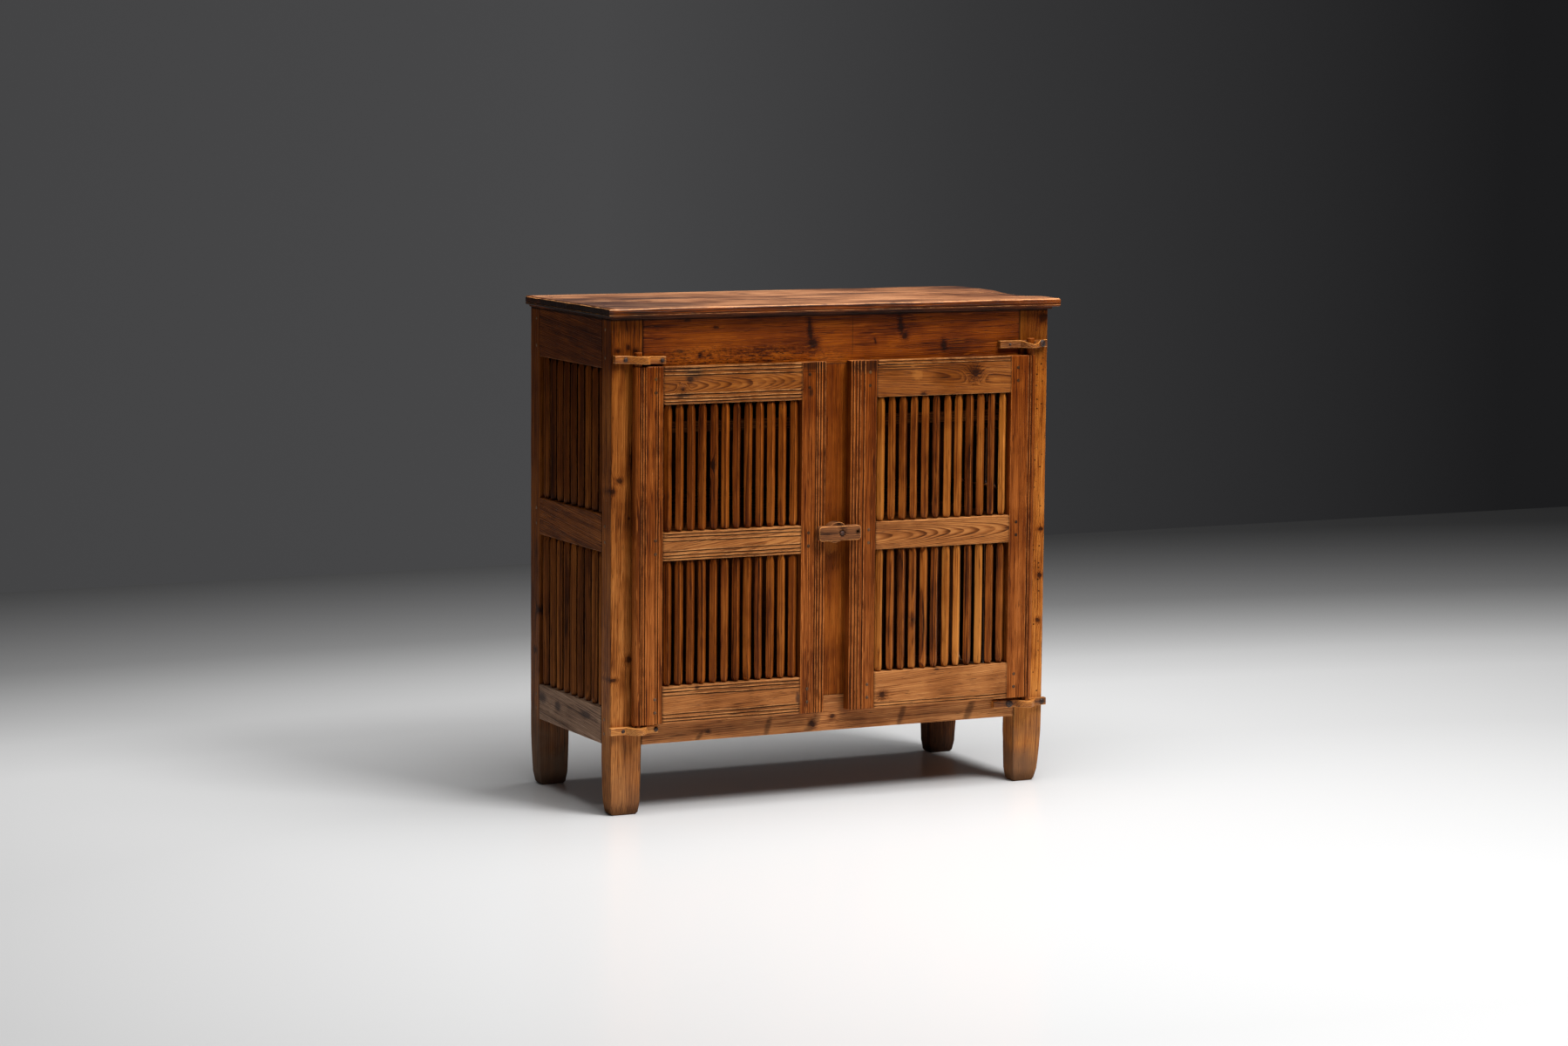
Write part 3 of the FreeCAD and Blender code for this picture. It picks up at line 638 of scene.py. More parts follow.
def make_knot():
    """A knot or stain round a centre, in the plane of x and z."""
    tree, g, given, out = new_group(
        "knot", {"Place": None, "Centre": None, "Size": None, "Turn": 0.0, "Push": 0.006},
        ("Core", "Halo", "Push", "Rays"))
    turn = g.add("VectorRotate", rotation_type="Y_AXIS")
    g.feed(turn.inputs["Vector"], g.vector("SUBTRACT", given["Place"], given["Centre"]))
    g.feed(turn.inputs["Angle"], given["Turn"])
    scaled = g.vector("DIVIDE", turn.outputs[0], given["Size"])
    ragged = g.noise(given["Place"], 150.0, 2.0)
    d = g.plus(g.vector("LENGTH", scaled, out=1), g.times(g.minus(ragged, 0.5), 1.1))
    g.feed(out["Core"], g.fall(d, 0.55, 1.15))
    g.feed(out["Halo"], g.fall(d, 0.7, 2.4))
    g.feed(out["Push"], g.times(given["Push"], g.math("EXPONENT", g.times(g.times(d, d), -0.2))))
    x, y, z = g.parts(scaled)
    spread = g.line(g.times(g.math("ARCTAN2", x, z), 7.0))
    g.feed(out["Rays"], g.times(g.step(spread, 0.45, 0.62), g.fall(d, 1.0, 3.4)))
    return tree


def make_age():
    """Rubbed edges, grime in hollows, dust near the floor, and dents."""
    tree, g, given, out = new_group("age", {"Place": None, "Wear": 0.0, "Dirt": 0.0},
                                    ("Rub", "Grime", "Patch", "Low", "Dent"))
    place = given["Place"]
    broad = g.noise(place, 38.0, 3.0)
    fine = g.noise(place, 430.0, 2.0)
    both = g.mixed(broad, 1.3, g.times(fine, 0.5))
    g.feed(out["Rub"], g.step(g.times(given["Wear"], both), 0.5, 1.05))
    g.feed(out["Grime"], g.times(given["Dirt"], g.mixed(fine, 0.8, 0.5), clamp=True))
    g.feed(out["Patch"], g.step(g.noise(place, 7.0, 3.0, 0.6), 0.4, 0.72))
    ragged = g.mixed(g.noise(place, 21.0, 2.0), 0.24, g.parts(place)[2])
    g.feed(out["Low"], g.fall(ragged, 0.1, 0.36))
    g.feed(out["Dent"], g.step(g.noise(place, 190.0, 2.0), 0.66, 0.8))
    return tree


RINGS = make_rings()
FIBRE = make_fibre()
KNOT = make_knot()
AGE = make_age()


def palette(*shades):
    """Colours of one old pine, from the rubbed light wood to the darkest late wood."""
    return tuple(colour(*shade) for shade in shades)


HONEY = palette((208, 124, 38), (162, 86, 14), (105, 47, 5), (39, 14, 2))
AMBER = palette((218, 142, 66), (172, 98, 36), (112, 54, 14), (42, 17, 4))
RUSSET = palette((196, 118, 58), (146, 78, 28), (98, 44, 11), (38, 15, 4))
EMBER = palette((202, 122, 50), (148, 78, 22), (98, 43, 7), (34, 12, 2))
GOLDEN = palette((222, 152, 80), (180, 110, 46), (124, 67, 22), (50, 24, 8))
WORN = palette((206, 135, 71), (154, 89, 36), (100, 51, 17), (42, 17, 6))
TAN = palette((210, 146, 88), (168, 106, 58), (114, 64, 30), (48, 23, 9))
TOPS = palette((222, 168, 122), (168, 114, 78), (98, 60, 42), (38, 25, 22))
SHADE = palette((178, 112, 54), (132, 74, 28), (86, 43, 13), (32, 14, 3))
PALE = palette((204, 136, 76), (147, 94, 56), (95, 58, 36), (43, 26, 17))
GREYED = palette((196, 162, 134), (150, 116, 92), (104, 76, 58), (50, 34, 26))
PALETTE_STOPS = (0.0, 0.33, 0.68, 1.0)
GRIME_AND_SHADOW = colour(20, 9, 4)
KNOT_DARK = colour(42, 18, 7)
DUST = colour(138, 112, 90)
INK = colour(34, 25, 30)
# Tints multiplied in as painted shade: one deepens the wood the higher it stands, one the top's nosing
# and underside
HEIGHT_SHADE_TINT = colour(178, 152, 84)
NOSE_SHADE_TINT = colour(190, 139, 55)
REDDENED = colour(62, 24, 4)
FOOT_DUST = colour(112, 80, 58)
IRON_BLACK = colour(36, 27, 23)
RUST = colour(82, 44, 25)

# Heights of the painted shadow band just below the top, and of the dirt on the feet, in metres
TOP_SHADOW_BAND = (0.9945, 0.998)
FLOOR_DIRT = 0.032


def pine(name, shades, spacing=2.8, bend=9.0, contrast=0.34, knots=(), stains=(), base=0.2,
         rub=0.75, gloss=0.44, low=0.0, patch=0.2, pitted=(), tacks=None, rays=0.0, cloud=0.6,
         shine=0.08, lines=0.35, height_shade=1.0, foot=DUST, fibrous=1.3, flecks=0.3, scuffs=(),
         below_top_shadow=0.0, rim=0.0, stained=0.72, worn=None, ink=INK):
    """Old waxed pine, with painted shade that makes it darker and richer the higher it stands, and
    paler and dusty near the floor.

    spacing and bend of the year rings are in millimetres. knots, stains, scuffs and pitted are
    rows of marks_on. tacks is the place of a column of small nail holes.
    """
    material, g, shader = surface(name)
    light, dark = shades[0], shades[3]
    shader.inputs["Specular IOR Level"].default_value = shine
    place = g.add("TexCoord").outputs["Object"]
    height = g.parts(place)[2]
    grain = g.attribute("grain", "Vector")
    tone = g.attribute("tone")

    def marks(rows):
        """The groups of several knots or stains."""
        return [g.use(KNOT, Place=place, Centre=[c * MM for c in centre],
                      Size=[s * MM for s in size], Turn=turn, Push=push * MM)
                for centre, size, turn, push in rows]

    def most(rows, key):
        """The strongest of one output of several groups."""
        total = 0.0
        for row in rows:
            total = g.math("MAXIMUM", row[key], total)
        return total

    def lay(over, mask, share, mode="MIX", clamp=False):
        """The colour so far with another laid over it where a mask shows."""
        return g.blend(shade, over, g.times(mask, share, clamp), mode)

    knot_rows = marks(knots)
    push = 0.0
    for row in knot_rows:
        push = g.plus(row["Push"], push)
    rings = g.use(RINGS, Grain=grain, Spacing=spacing * MM, Bend=bend * MM, Push=push)
    fibre = g.use(FIBRE, Grain=grain)
    age = g.use(AGE, Place=place, Wear=g.attribute("wear"), Dirt=g.attribute("dirt"))
    smooth = g.minus(0.5, fibre["Streak"])

    depth = g.mixed(rings["Late"], contrast, base)
    for value, share in ((smooth, fibrous), (fibre["Line"], lines),
                         (g.minus(rings["Slow"], 0.5), 0.4), (g.minus(fibre["Cloud"], 0.42), cloud),
                         (age["Patch"], patch), (tone, -0.42)):
        depth = g.mixed(value, share, depth)
    if knots:
        depth = g.mixed(most(knot_rows, "Halo"), 0.26, depth)
    if rays:
        depth = g.mixed(most(knot_rows, "Rays"), rays, depth)
    shade = g.ramp(depth, tuple(zip(PALETTE_STOPS, shades)))
    shade = lay(dark, fibre["Dash"], 0.6)
    shade = lay(light, fibre["Fleck"], flecks)
    if knots:
        shade = lay(KNOT_DARK, most(knot_rows, "Core"), 0.82)
    if stains:
        shade = lay(ink, most(marks(stains), "Halo"), stained)
    if scuffs:
        shade = lay(light, most(marks(scuffs), "Core"), 0.5)
    if pitted:
        area = marks(pitted)[0]["Halo"]
        specks = g.noise(g.vector("MULTIPLY", place, (100.0, 100.0, 300.0)), 1.0, 3.0, 0.75)
        shade = lay(dark, g.times(g.step(specks, 0.53, 0.6), area), 0.8)
        shade = lay(light, g.times(g.fall(specks, 0.36, 0.46), area), 0.7)
    if tacks:
        spots = g.add("TexVoronoi")
        g.feed(spots.inputs["Vector"], g.vector("MULTIPLY", place, (62.0, 5.0, 84.0)))
        spots.inputs["Scale"].default_value = 1.0
        spots.inputs["Randomness"].default_value = 0.55
        aside = g.math("ABSOLUTE", g.minus(g.parts(place)[0], tacks * MM))
        column = g.times(g.fall(aside, 0.006, 0.012), g.step(height, 0.14, 0.2))
        shade = lay(GRIME_AND_SHADOW, g.times(g.fall(spots.outputs["Distance"], 0.1, 0.18), column), 0.9)
    # Painted shade: the colour is multiplied darker and richer the higher the point stands
    if height_shade:
        height_share = g.mixed(height, 1.0, g.mixed(age["Patch"], 0.16, -0.04), clamp=True)
        shade = lay(HEIGHT_SHADE_TINT, height_share, height_shade, "MULTIPLY", True)
    # Painted shade on the top's nosing and underside, where the tone is low
    if rim:
        shade = lay(NOSE_SHADE_TINT, g.step(tone, -0.02, -0.3), rim, "MULTIPLY")
    rubbed = g.times(age["Rub"], rub)
    shade = g.blend(shade, worn or light, rubbed)
    # Painted shadow: a dark band just below the top, where its overhang shades the rails, posts and
    # sides
    if below_top_shadow:
        shade = lay(GRIME_AND_SHADOW, g.step(height, *TOP_SHADOW_BAND), below_top_shadow)
    shade = lay(GRIME_AND_SHADOW, age["Grime"], 0.9)
    if low:
        shade = lay(foot, age["Low"], low)
        shade = lay(GRIME_AND_SHADOW, g.step(height, FLOOR_DIRT, 0.0), 0.5)
    g.feed(shader.inputs["Base Color"], shade)

    polish = g.mixed(rubbed, 0.1, gloss)
    polish = g.mixed(smooth, 0.3, polish)
    polish = g.mixed(age["Grime"], 0.4, polish)
    g.feed(shader.inputs["Roughness"], g.mixed(age["Low"], 0.6 * low, polish, clamp=True))

    raised = g.mixed(rings["Late"], 0.5, g.times(fibre["Streak"], 0.7))
    raised = g.mixed(fibre["Dash"], -0.6, raised)
    g.relief(shader, g.mixed(age["Dent"], -0.8, raised), 0.85, 0.001)
    return material


def wrought_iron():
    """Dark hammered iron with brown rust."""
    material, g, shader = surface("wrought_iron")
    cloud = g.noise(g.add("TexCoord").outputs["Object"], 260.0, 3.0)
    rust = g.step(cloud, 0.46, 0.66)
    g.feed(shader.inputs["Base Color"], g.blend(IRON_BLACK, RUST, rust))
    g.feed(shader.inputs["Metallic"], g.mixed(rust, -0.3, 0.35))
    g.feed(shader.inputs["Roughness"], g.mixed(rust, 0.3, 0.45))
    g.relief(shader, cloud, 0.6, 0.0008)
    return material


def marks_on(axis, level, *rows, deep=30):
    """Knots, stains or scuffs on a flat face across an axis, 0 to 2 for x to z, in millimetres.

    Each row has the two other coordinates, two half sizes, and then a turn and how far it pushes
    the year rings aside, where these aren't 0.
    """
    found = []
    for a, b, wide, tall, *more in rows:
        centre, size = [a, b], [wide, tall]
        centre.insert(axis, level)
        size.insert(axis, deep)
        turn, push = (more + [0, 0])[:2]
        found.append((centre, size, turn, push))
    return found


# Marks on each face, with the face's place across its axis
on_front = partial(marks_on, 1, -186.0)
on_door = partial(marks_on, 1, -208.6)
on_bars = partial(marks_on, 1, -203)
on_ears = partial(marks_on, 1, -199)
on_button = partial(marks_on, 1, -227)
on_side = partial(marks_on, 0, -498)
on_top = partial(marks_on, 2, 1023)
IRON = wrought_iron()
RAIL_PINE = pine(
    "pine_top_rail", HONEY, 2.6, 10.0, cloud=0.8, base=0.22, fibrous=1.0, flecks=0.6, below_top_shadow=0.9,
    pitted=on_front((-235, 917, 140, 14, 0, 6), deep=60),
    scuffs=on_front((-128, 921, 26, 5), (-196, 914, 8, 0.8), (-40, 912, 24, 4)),
    knots=on_front((-58, 966, 5, 30, 0.1, 4), (-51, 941, 10, 11, 0, 3), (150, 972, 5, 18, 0.15, 4),
                   (160, 951, 7, 7, 0, 3), (251, 931, 5, 10, 0.1, 4), (-305, 925, 4, 6, 0.2, 1),
                   (-270, 979, 7, 3, 0, 1), (91, 943, 2, 5, 0.3)),
    stains=on_front((39, 957, 0.45, 26), (-333, 994, 5, 2), (-349, 933, 7, 2)))
LOW_RAIL_PINE = pine(
    "pine_bottom_rail", TAN, 2.6, base=0.16, low=0.12, height_shade=0.8, flecks=0.5, ink=KNOT_DARK,
    knots=on_front((-282, 159, 5, 4, 0, 2), (1, 171, 6, 5, 0.4, 3), (-45, 158, 5, 9, 0.7, 3),
                   (-398, 175, 3, 3, 0, 1)),
    stained=0.6,
    stains=on_front((-147, 160, 4, 15, -0.28), (-45, 158, 6, 15, -0.7), (-301, 151, 3, 8, -0.7),
                    (162, 162, 4, 16, -0.35), (323, 161, 5, 20, -0.4)))
MUNTIN_PINE = pine("pine_muntin", EMBER, 3.0, 6.0, 0.16, base=0.26, lines=0.15, fibrous=1.0,
                   scuffs=on_front((-6, 530, 16, 24)))
LEFT_POST_PINE = pine(
    "pine_left_post", WORN, 2.6, 7.0, 0.36, base=0.04, low=0.6, cloud=0.9, patch=0.3, fibrous=1.5,
    flecks=0.45, below_top_shadow=0.9, foot=FOOT_DUST,
    # The stains along the post's edge beside the left door are partly stain and partly painted shadow
    # cast by the door
    stains=on_front((-443, 660, 6, 90), (-446, 830, 4, 40), (-442, 440, 5, 40), (-441, 330, 4, 20)),
    knots=on_front((-480, 678, 8, 6, 0, 6), (-495, 657, 5, 6, 0, 3), (-453, 722, 4, 20, 0, 2),
                   (-484, 937, 5, 4, 0, 3), (-462, 943, 4, 6, 0, 2), (-446, 936, 5, 4, 0, 2),
                   (-459, 317, 7, 8, 0, 7), (-492, 277, 8, 4, 0, 4), (-459, 602, 2, 2, 0, 1),
                   (-465, 984, 1, 9, 0.1, 1)))
RIGHT_POST_PINE = pine(
    "pine_right_post", AMBER, 2.6, 7.0, 0.36, base=-0.04, low=0.95, tacks=480, cloud=0.9,
    foot=FOOT_DUST, fibrous=1.5, flecks=0.5, below_top_shadow=0.9, ink=REDDENED, stained=0.5,
    stains=on_front((464, 968, 60, 46)),
    knots=on_front((486, 981, 12, 12, 0, 5), (489, 536, 7, 4, 0, 4), (488, 438, 6, 5, 0, 4),
                   (485, 343, 6, 5, 0, 4)))
BACK_LEFT_PINE = pine(
    "pine_back_left_post", SHADE, 3.2, 8.0, 0.32, base=0.16, low=0.85, cloud=0.7, below_top_shadow=0.9,
    foot=colour(128, 106, 88), knots=on_side((184, 371, 8, 6, 0, 4), (202, 285, 7, 6, 0, 4)))
# Painted shade: this post's foot gets a dark colour in place of dust, for the shade it stands in below
# the cupboard
BACK_RIGHT_PINE = pine(
    "pine_back_right_post", SHADE, 3.2, 8.0, 0.32, base=0.3, low=0.85, cloud=0.8, below_top_shadow=0.9,
    foot=colour(52, 38, 30))
LOW_SIDE_PINE = pine("pine_side_bottom_rails", GREYED, 3.2, 12.0, 0.3, rub=0.5, height_shade=0.3,
                     stains=on_side((165, 190, 14, 7), (82, 184, 9, 6), (-62, 189, 16, 5)))
SIDE_PINE = pine("pine_sides", SHADE, 3.0, 12.0, rub=0.5, cloud=0.9, below_top_shadow=0.9, height_shade=1.2)
TOP_PINE = pine(
    "pine_top", TOPS, 2.6, 14.0, 0.4, gloss=0.36, rub=0.9, cloud=0.95, patch=0.3, height_shade=0.0,
    shine=0.14, rim=1.0, worn=colour(204, 142, 88), fibrous=0.8,
    scuffs=on_top((-430, 13, 20, 5), (-375, -6, 24, 5), (-320, -25, 20, 5))
    + on_top((-490, -216, 26, 8), deep=4),
    stains=on_top((-455, -95, 62, 80), (-372, -120, 60, 44), (-300, 60, 60, 16),
                  (-470, 70, 30, 20), (468, 165, 44, 24), (468, -50, 9, 34), (180, 70, 60, 10),
                  (-60, -40, 90, 7), (-54, 134, 8, 10)))
LEFT_STILE_PINE = pine("pine_left_stiles", RUSSET, 2.6, 6.0, 0.5, base=0.1, lines=0.55, fibrous=2.0,
                       height_shade=1.1, flecks=0.9,
                       stains=on_door((-58, 899, 26, 6), (-58, 885.5, 26, 0.45), (-66, 843, 3, 5)))
LEFT_TOP_PINE = pine(
    "pine_left_top_rail", TAN, 1.6, 6.0, 0.5, lines=0.2, stained=0.85, fibrous=1.0, rays=0.15,
    knots=on_door((-352, 858, 4, 4, 0, 12), deep=40), scuffs=on_door((-326, 899, 0.8, 4)),
    stains=on_door((-328, 891, 13, 7), (-350, 846, 11, 3), (-336, 879, 6, 5)))
LEFT_MID_PINE = pine("pine_left_middle_rail", TAN, 2.4, 8.0, 0.26, base=0.12, fibrous=1.0)
LEFT_LOW_PINE = pine("pine_left_bottom_rail", TAN, 2.4, 8.0, 0.24, fibrous=1.0,
                     knots=on_door((-317, 254, 5, 3, 0, 2)), stains=on_door((-90, 218, 3, 8, 0.1)))
RIGHT_STILE_PINE = pine("pine_right_stiles", RUSSET, 2.6, 7.0, 0.42, base=0.16, lines=0.4,
                        height_shade=1.1, fibrous=1.7, flecks=0.5,
                        stains=on_door((58, 894, 24, 9), (58, 884, 24, 0.45)))
RIGHT_TOP_PINE = pine(
    "pine_right_top_rail", TAN, 2.0, 7.0, base=0.26, rays=0.3, lines=0.25, fibrous=1.0,
    # Painted shade and highlight: the thin dark and light lines from 884 to 895 mm stand for shallow
    # grooves near the upper edge that are not modelled
    scuffs=on_door((178, 872, 14, 11), (168, 893, 9, 5), (140, 887.2, 60, 1.3),
                   (150, 892.2, 60, 1.3)),
    stains=on_door((142, 884.4, 60, 1), (148, 889.7, 66, 1), (120, 895, 30, 0.9)),
    knots=on_door((315, 872, 10, 9, 0, 10), deep=40) + on_door((193, 832, 6, 3, 0, 2)))
RIGHT_MID_PINE = pine("pine_right_middle_rail", TAN, 1.7, 5.0, 0.66, base=0.12, lines=0.15,
                      fibrous=0.9)
RIGHT_LOW_PINE = pine(
    "pine_right_bottom_rail", TAN, 2.0, 7.0, 0.3, base=0.19, rays=0.2, fibrous=1.0,
    knots=on_door((105, 211, 8, 7, 0, 10), deep=40) + on_door((232, 258, 3, 2, 0, 2)))
LEFT_BAR_PINE = pine("pine_left_bars", EMBER, 2.4, 5.0, 0.4, base=0.24, rub=0.4, gloss=0.34,
                     shine=0.12, fibrous=1.5, knots=on_bars((-283, 704, 5, 8, 0, 4)))
RIGHT_BAR_PINE = pine("pine_right_bars", AMBER, 2.4, 5.0, 0.44, base=0.34, rub=0.4, gloss=0.38,
                      shine=0.12, fibrous=1.6, knots=on_bars((178, 362, 5, 9, 0, 3)))
SIDE_BAR_PINE = pine("pine_side_bars", SHADE, 2.4, 5.0, base=0.24, rub=0.4, cloud=0.3, patch=0.08,
                     height_shade=1.2)
INSIDE_PINE = pine("pine_inside", SHADE, 3.4, 12.0, 0.4, base=0.4, rub=0.3, gloss=0.65, height_shade=0.0)
BACK_PINE = pine("pine_back", SHADE, 4.0, 16.0, 0.45, base=0.3, rub=0.45, gloss=0.6, low=0.3,
                 height_shade=0.5)
EAR_PINE = pine("pine_ears", GOLDEN, 2.4, 5.0, base=0.18, rub=0.9, gloss=0.34, shine=0.2,
                height_shade=0.7, stained=0.5, cloud=1.1, low=0.5, foot=colour(118, 84, 54),
                stains=on_ears((408, 928, 22, 5), (480, 928, 8, 7), (-472.5, 920, 4, 4),
                               (-392.5, 917, 4, 4), (412, 171, 7, 6), (491, 171, 8, 6)))
NAIL_X = (box("button_disc")[0].x + box("button_disc")[1].x) / 2
BUTTON_PINE = pine("worn_button_wood", PALE, 1.8, 6.0, 0.35, base=0.33, rub=0.9, gloss=0.55,
                   cloud=0.8, height_shade=0.5, fibrous=1.0, knots=on_button((NAIL_X + 0.5, 571, 7, 6.5)),
                   scuffs=on_button((-30, 586, 22, 3), (18, 584, 24, 4)))
PEG_PINE = pine("peg_wood", GREYED, 1.6, 2.0, 0.3, base=0.46, rub=0.2)


# Visible places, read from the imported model
left_post = box("front_left_post")
back_post = box("back_left_post")
top_rail = box("front_top_rail")
low_rail = box("front_bottom_rail")
x_left, x_in = left_post[0].x, left_post[1].x
y_front, y_front_in = left_post[0].y, left_post[1].y
y_back_in, y_back = back_post[0].y, back_post[1].y
z_top = left_post[1].z
rail_t = top_rail[1].y - top_rail[0].y
box_low, box_high = cad_box[0] / MM, cad_box[1] / MM
LEVELS = ("top", "middle", "bottom")


def rails_of(part):
    """Lowest and highest place of the three rails of a door, a side or the back."""
    return {name: [corner.z for corner in box(part + name + "_rail")] for name in LEVELS}


def openings(rails):
    """Name, floor and ceiling of the two openings between three rails."""
    return (("upper", rails["middle"][1], rails["top"][0]),
            ("lower", rails["bottom"][1], rails["middle"][0]))


def foot(outer, worn):
    """How much a post narrows towards the floor on its four sides."""
    def shape(z):
        trim = [2.5 * fading(z, 100) + 6.0 * fading(z, 14) ** 2] * 4
        trim[outer] += worn * fading(z, 150) ** 2
        return trim
    return shape


def shaded_left_face(at, u):
    """Painted shade: the left face of the front left post is darker than its front."""
    return -0.3 if u < 1.5 else 0.0


def make_posts():
    """Four posts, each with its own wear at the foot."""
    size = (z_top, x_in - x_left, y_front_in - y_front)
    for name, x, y, into, material, outer, worn, seed, tone in (
            ("front_left", x_left, y_front, "+y", LEFT_POST_PINE, 0, 0.5, 11, shaded_left_face),
            ("front_right", -x_in, y_front, "+y", RIGHT_POST_PINE, 1, 9, 12, 0.0),
            ("back_left", x_left, y_back, "-y", BACK_LEFT_PINE, 0, 3, 13, 0.0),
            ("back_right", -x_in, y_back, "-y", BACK_RIGHT_PINE, 1, 3, 14, 0.0)):
        beam("post_" + name, name + "_post", material, "post_pine", (x, y, 0), "+z", "+x", into,
             size, arris=2.2, ends="fj", seed=seed, shape=foot(outer, worn), dents=0.7, step=20,
             pith=(size[1] * 1.7, 70), lean=(0.012, 0.0), seams=(1 - outer,), edges="calm",
             tone=tone)


def top_rail_tone(at, u):
    """The top rail is darker to the right and lighter low down on the left."""
    left_low = held((300.0 - at) / 120.0) * (1.0 if u < 45 else 0.0)
    return 0.14 * left_low - 0.22 * held((at - 560.0) / 180.0)


def make_front():
    """Front rails and muntin."""
    for name, (low, high), material, seed, pith, dents, seams, tone in (
            ("top", top_rail, RAIL_PINE, 21, (-70, 60), 0.3, (1,), top_rail_tone),
            ("bottom", low_rail, LOW_RAIL_PINE, 22, (-50, 50), 0.9, (), 0.0)):
        beam("rail_front_" + name, "front_" + name + "_rail", material, "frame_pine",
             (x_in, y_front, low.z), "+x", "+z", "+y", (-2 * x_in, high.z - low.z, rail_t),
             seed=seed, pith=pith, lean=(0.02, 0.01), dents=dents, seams=seams, tone=tone)
    low, high = box("front_muntin")
    z0, z1 = low_rail[1].z, top_rail[0].z
    beam("muntin", "front_muntin", MUNTIN_PINE, "frame_pine", (low.x, y_front, z0), "+z", "+x",
         "+y", (z1 - z0, high.x - low.x, rail_t), arris=0.8, seed=23, pith=(140, 60))


SIDE_BARS = 9
# How far the bars of a side stand in, their tone, and how thick they are. The right side's dark tone
# is painted shade, so its bars look dark between the door bars.
SIDE_BAR_LOOKS = {"left": (0.0, None, 1.0), "right": (3.0, -1.2, 1.4)}


def make_sides():
    """Side rails and the square bars set on the diagonal between them."""
    rails = rails_of("left_side_")
    for side, x, into, left in (("left", x_left, "+x", True), ("right", -x_left, "-x", False)):
        for number, (name, (z0, z1)) in enumerate(rails.items()):
            beam("side_rail_" + side + "_" + name, side + "_side_" + name + "_rail",
                 LOW_SIDE_PINE if name == "bottom" else SIDE_PINE, "frame_pine",
                 (x, y_front_in, z0), "+y", "+z", into, (y_back_in - y_front_in, z1 - z0, rail_t),
                 arris=1.0, seed=31 + number + (0 if left else 5), pith=((z1 - z0) * 1.4, 40),
                 lean=(0.08, 0.015), dents=0.8)
        for name, z0, z1 in openings(rails):
            node = side + "_side_" + name + "_bars"
            low, high = box(node)
            half = (high.x - low.x) / 2
            pitch = (high.y - low.y - 2 * half) / (SIDE_BARS - 1)
            inward, tone, thicker = SIDE_BAR_LOOKS[side]
            shell = Shell()
            for i in range(SIDE_BARS):
                seed = 40 + i + (0 if left else 10) + (20 if name == "lower" else 0)
                bar(shell, (low.x + high.x) / 2 - inward, low.y + half + pitch * i, z0, z1, half,
                    seed, tone, thicker)
            piece("bars_" + side + "_side_" + name, shell, SIDE_BAR_PINE, "bar_pine", node)


def bar(shell, x, y, z0, z1, half, seed, tone=None, size=1.0):
    """One whittled bar: a square stick on its corner, never quite straight."""
    chance = random.Random(seed)
    spin = Matrix.Rotation(math.radians(chance.uniform(-5, 5)), 3, "Z")
    half *= chance.uniform(1.0, 1.06) * size
    side = spin @ Vector((1, -1, 0)).normalized()
    deep = spin @ Vector((1, 1, 0)).normalized()
    width = half * math.sqrt(2)
    cut_in = (half - 6.0) / math.sqrt(2)
    length = z1 - z0
    run_low = chance.uniform(7, 14)
    run_high = chance.uniform(8, 16)
    bow = chance.uniform(-0.9, 0.9)
    sway = chance.uniform(-0.7, 0.7)

    def shape(z):
        inset = cut_in * max(fading(z, run_low), fading(length - z, run_high)) ** 1.5
        return (inset,) * 4

    def drift(z):
        arch = math.sin(math.pi * z / length)
        return (bow * arch + 0.25 * wave(z / 60, seed), sway * arch + 0.25 * wave(z / 50, seed, 3))

    if tone is None:
        tone = chance.uniform(-0.5, 0.5)
    corner = Vector((x, y, z0)) - side * width / 2 - deep * width / 2
    timber(shell, corner, "+z", side, deep, (length, width, width), seed=seed,
           pith=(chance.uniform(-30, 50), chance.uniform(20, 60)), shape=shape, drift=drift,
           tone=tone, step=30, rough=0.12, dents=0.8, close=(0.0, 0.6, 2.2, 5.0, 9.0, 14.0))


# The tone of each bar of a door's grilles, from left to right
BAR_TONES = {
    "left_upper": (0.2, 0.1, -0.1, 0.0, -0.3, 0.3, -0.35, -0.1, 0.1, 0.15, 0.25, 0.3),
    "left_lower": (-0.2, 0.0, -0.35, 0.1, 0.15, 0.2, -0.4, 0.3, -0.15, 0.2, 0.35, -0.05),
    "right_upper": (1.2, 0.35, 0.0, 0.6, 0.3, -0.2, 0.75, 0.6, -0.35, 0.35, -0.2, 1.35),
    "right_lower": (1.0, 0.3, -0.3, 0.35, 0.4, -0.3, 0.8, 1.25, -0.2, 1.4, 0.1, -0.2),
}
RAIL_BEADS = (4.5, 11.0, 19.0)
PLAIN_BEADS = (4.0, 10.0)
# Beads of the stiles: (hinge stile outer, inner), (lock stile low side, high side)
STILE_BEADS = {"left": (((1.5, 6.0, 11.7), (10.3, 15.6)), ((), (5.0, 12.0, 18.0, 23.0))),
               "right": (((2.0, 8.0), ()), ((5.0, 12.5, 19.5, 29.5), ()))}
FINE = {"deep": 1.5, "half": 1.2, "wander": 0.5}
BOLD = {"deep": 1.7, "half": 1.5, "wander": 0.6}
STILE_PINES = {"left": LEFT_STILE_PINE, "right": RIGHT_STILE_PINE}
BAR_PINES = {"left": LEFT_BAR_PINE, "right": RIGHT_BAR_PINE}
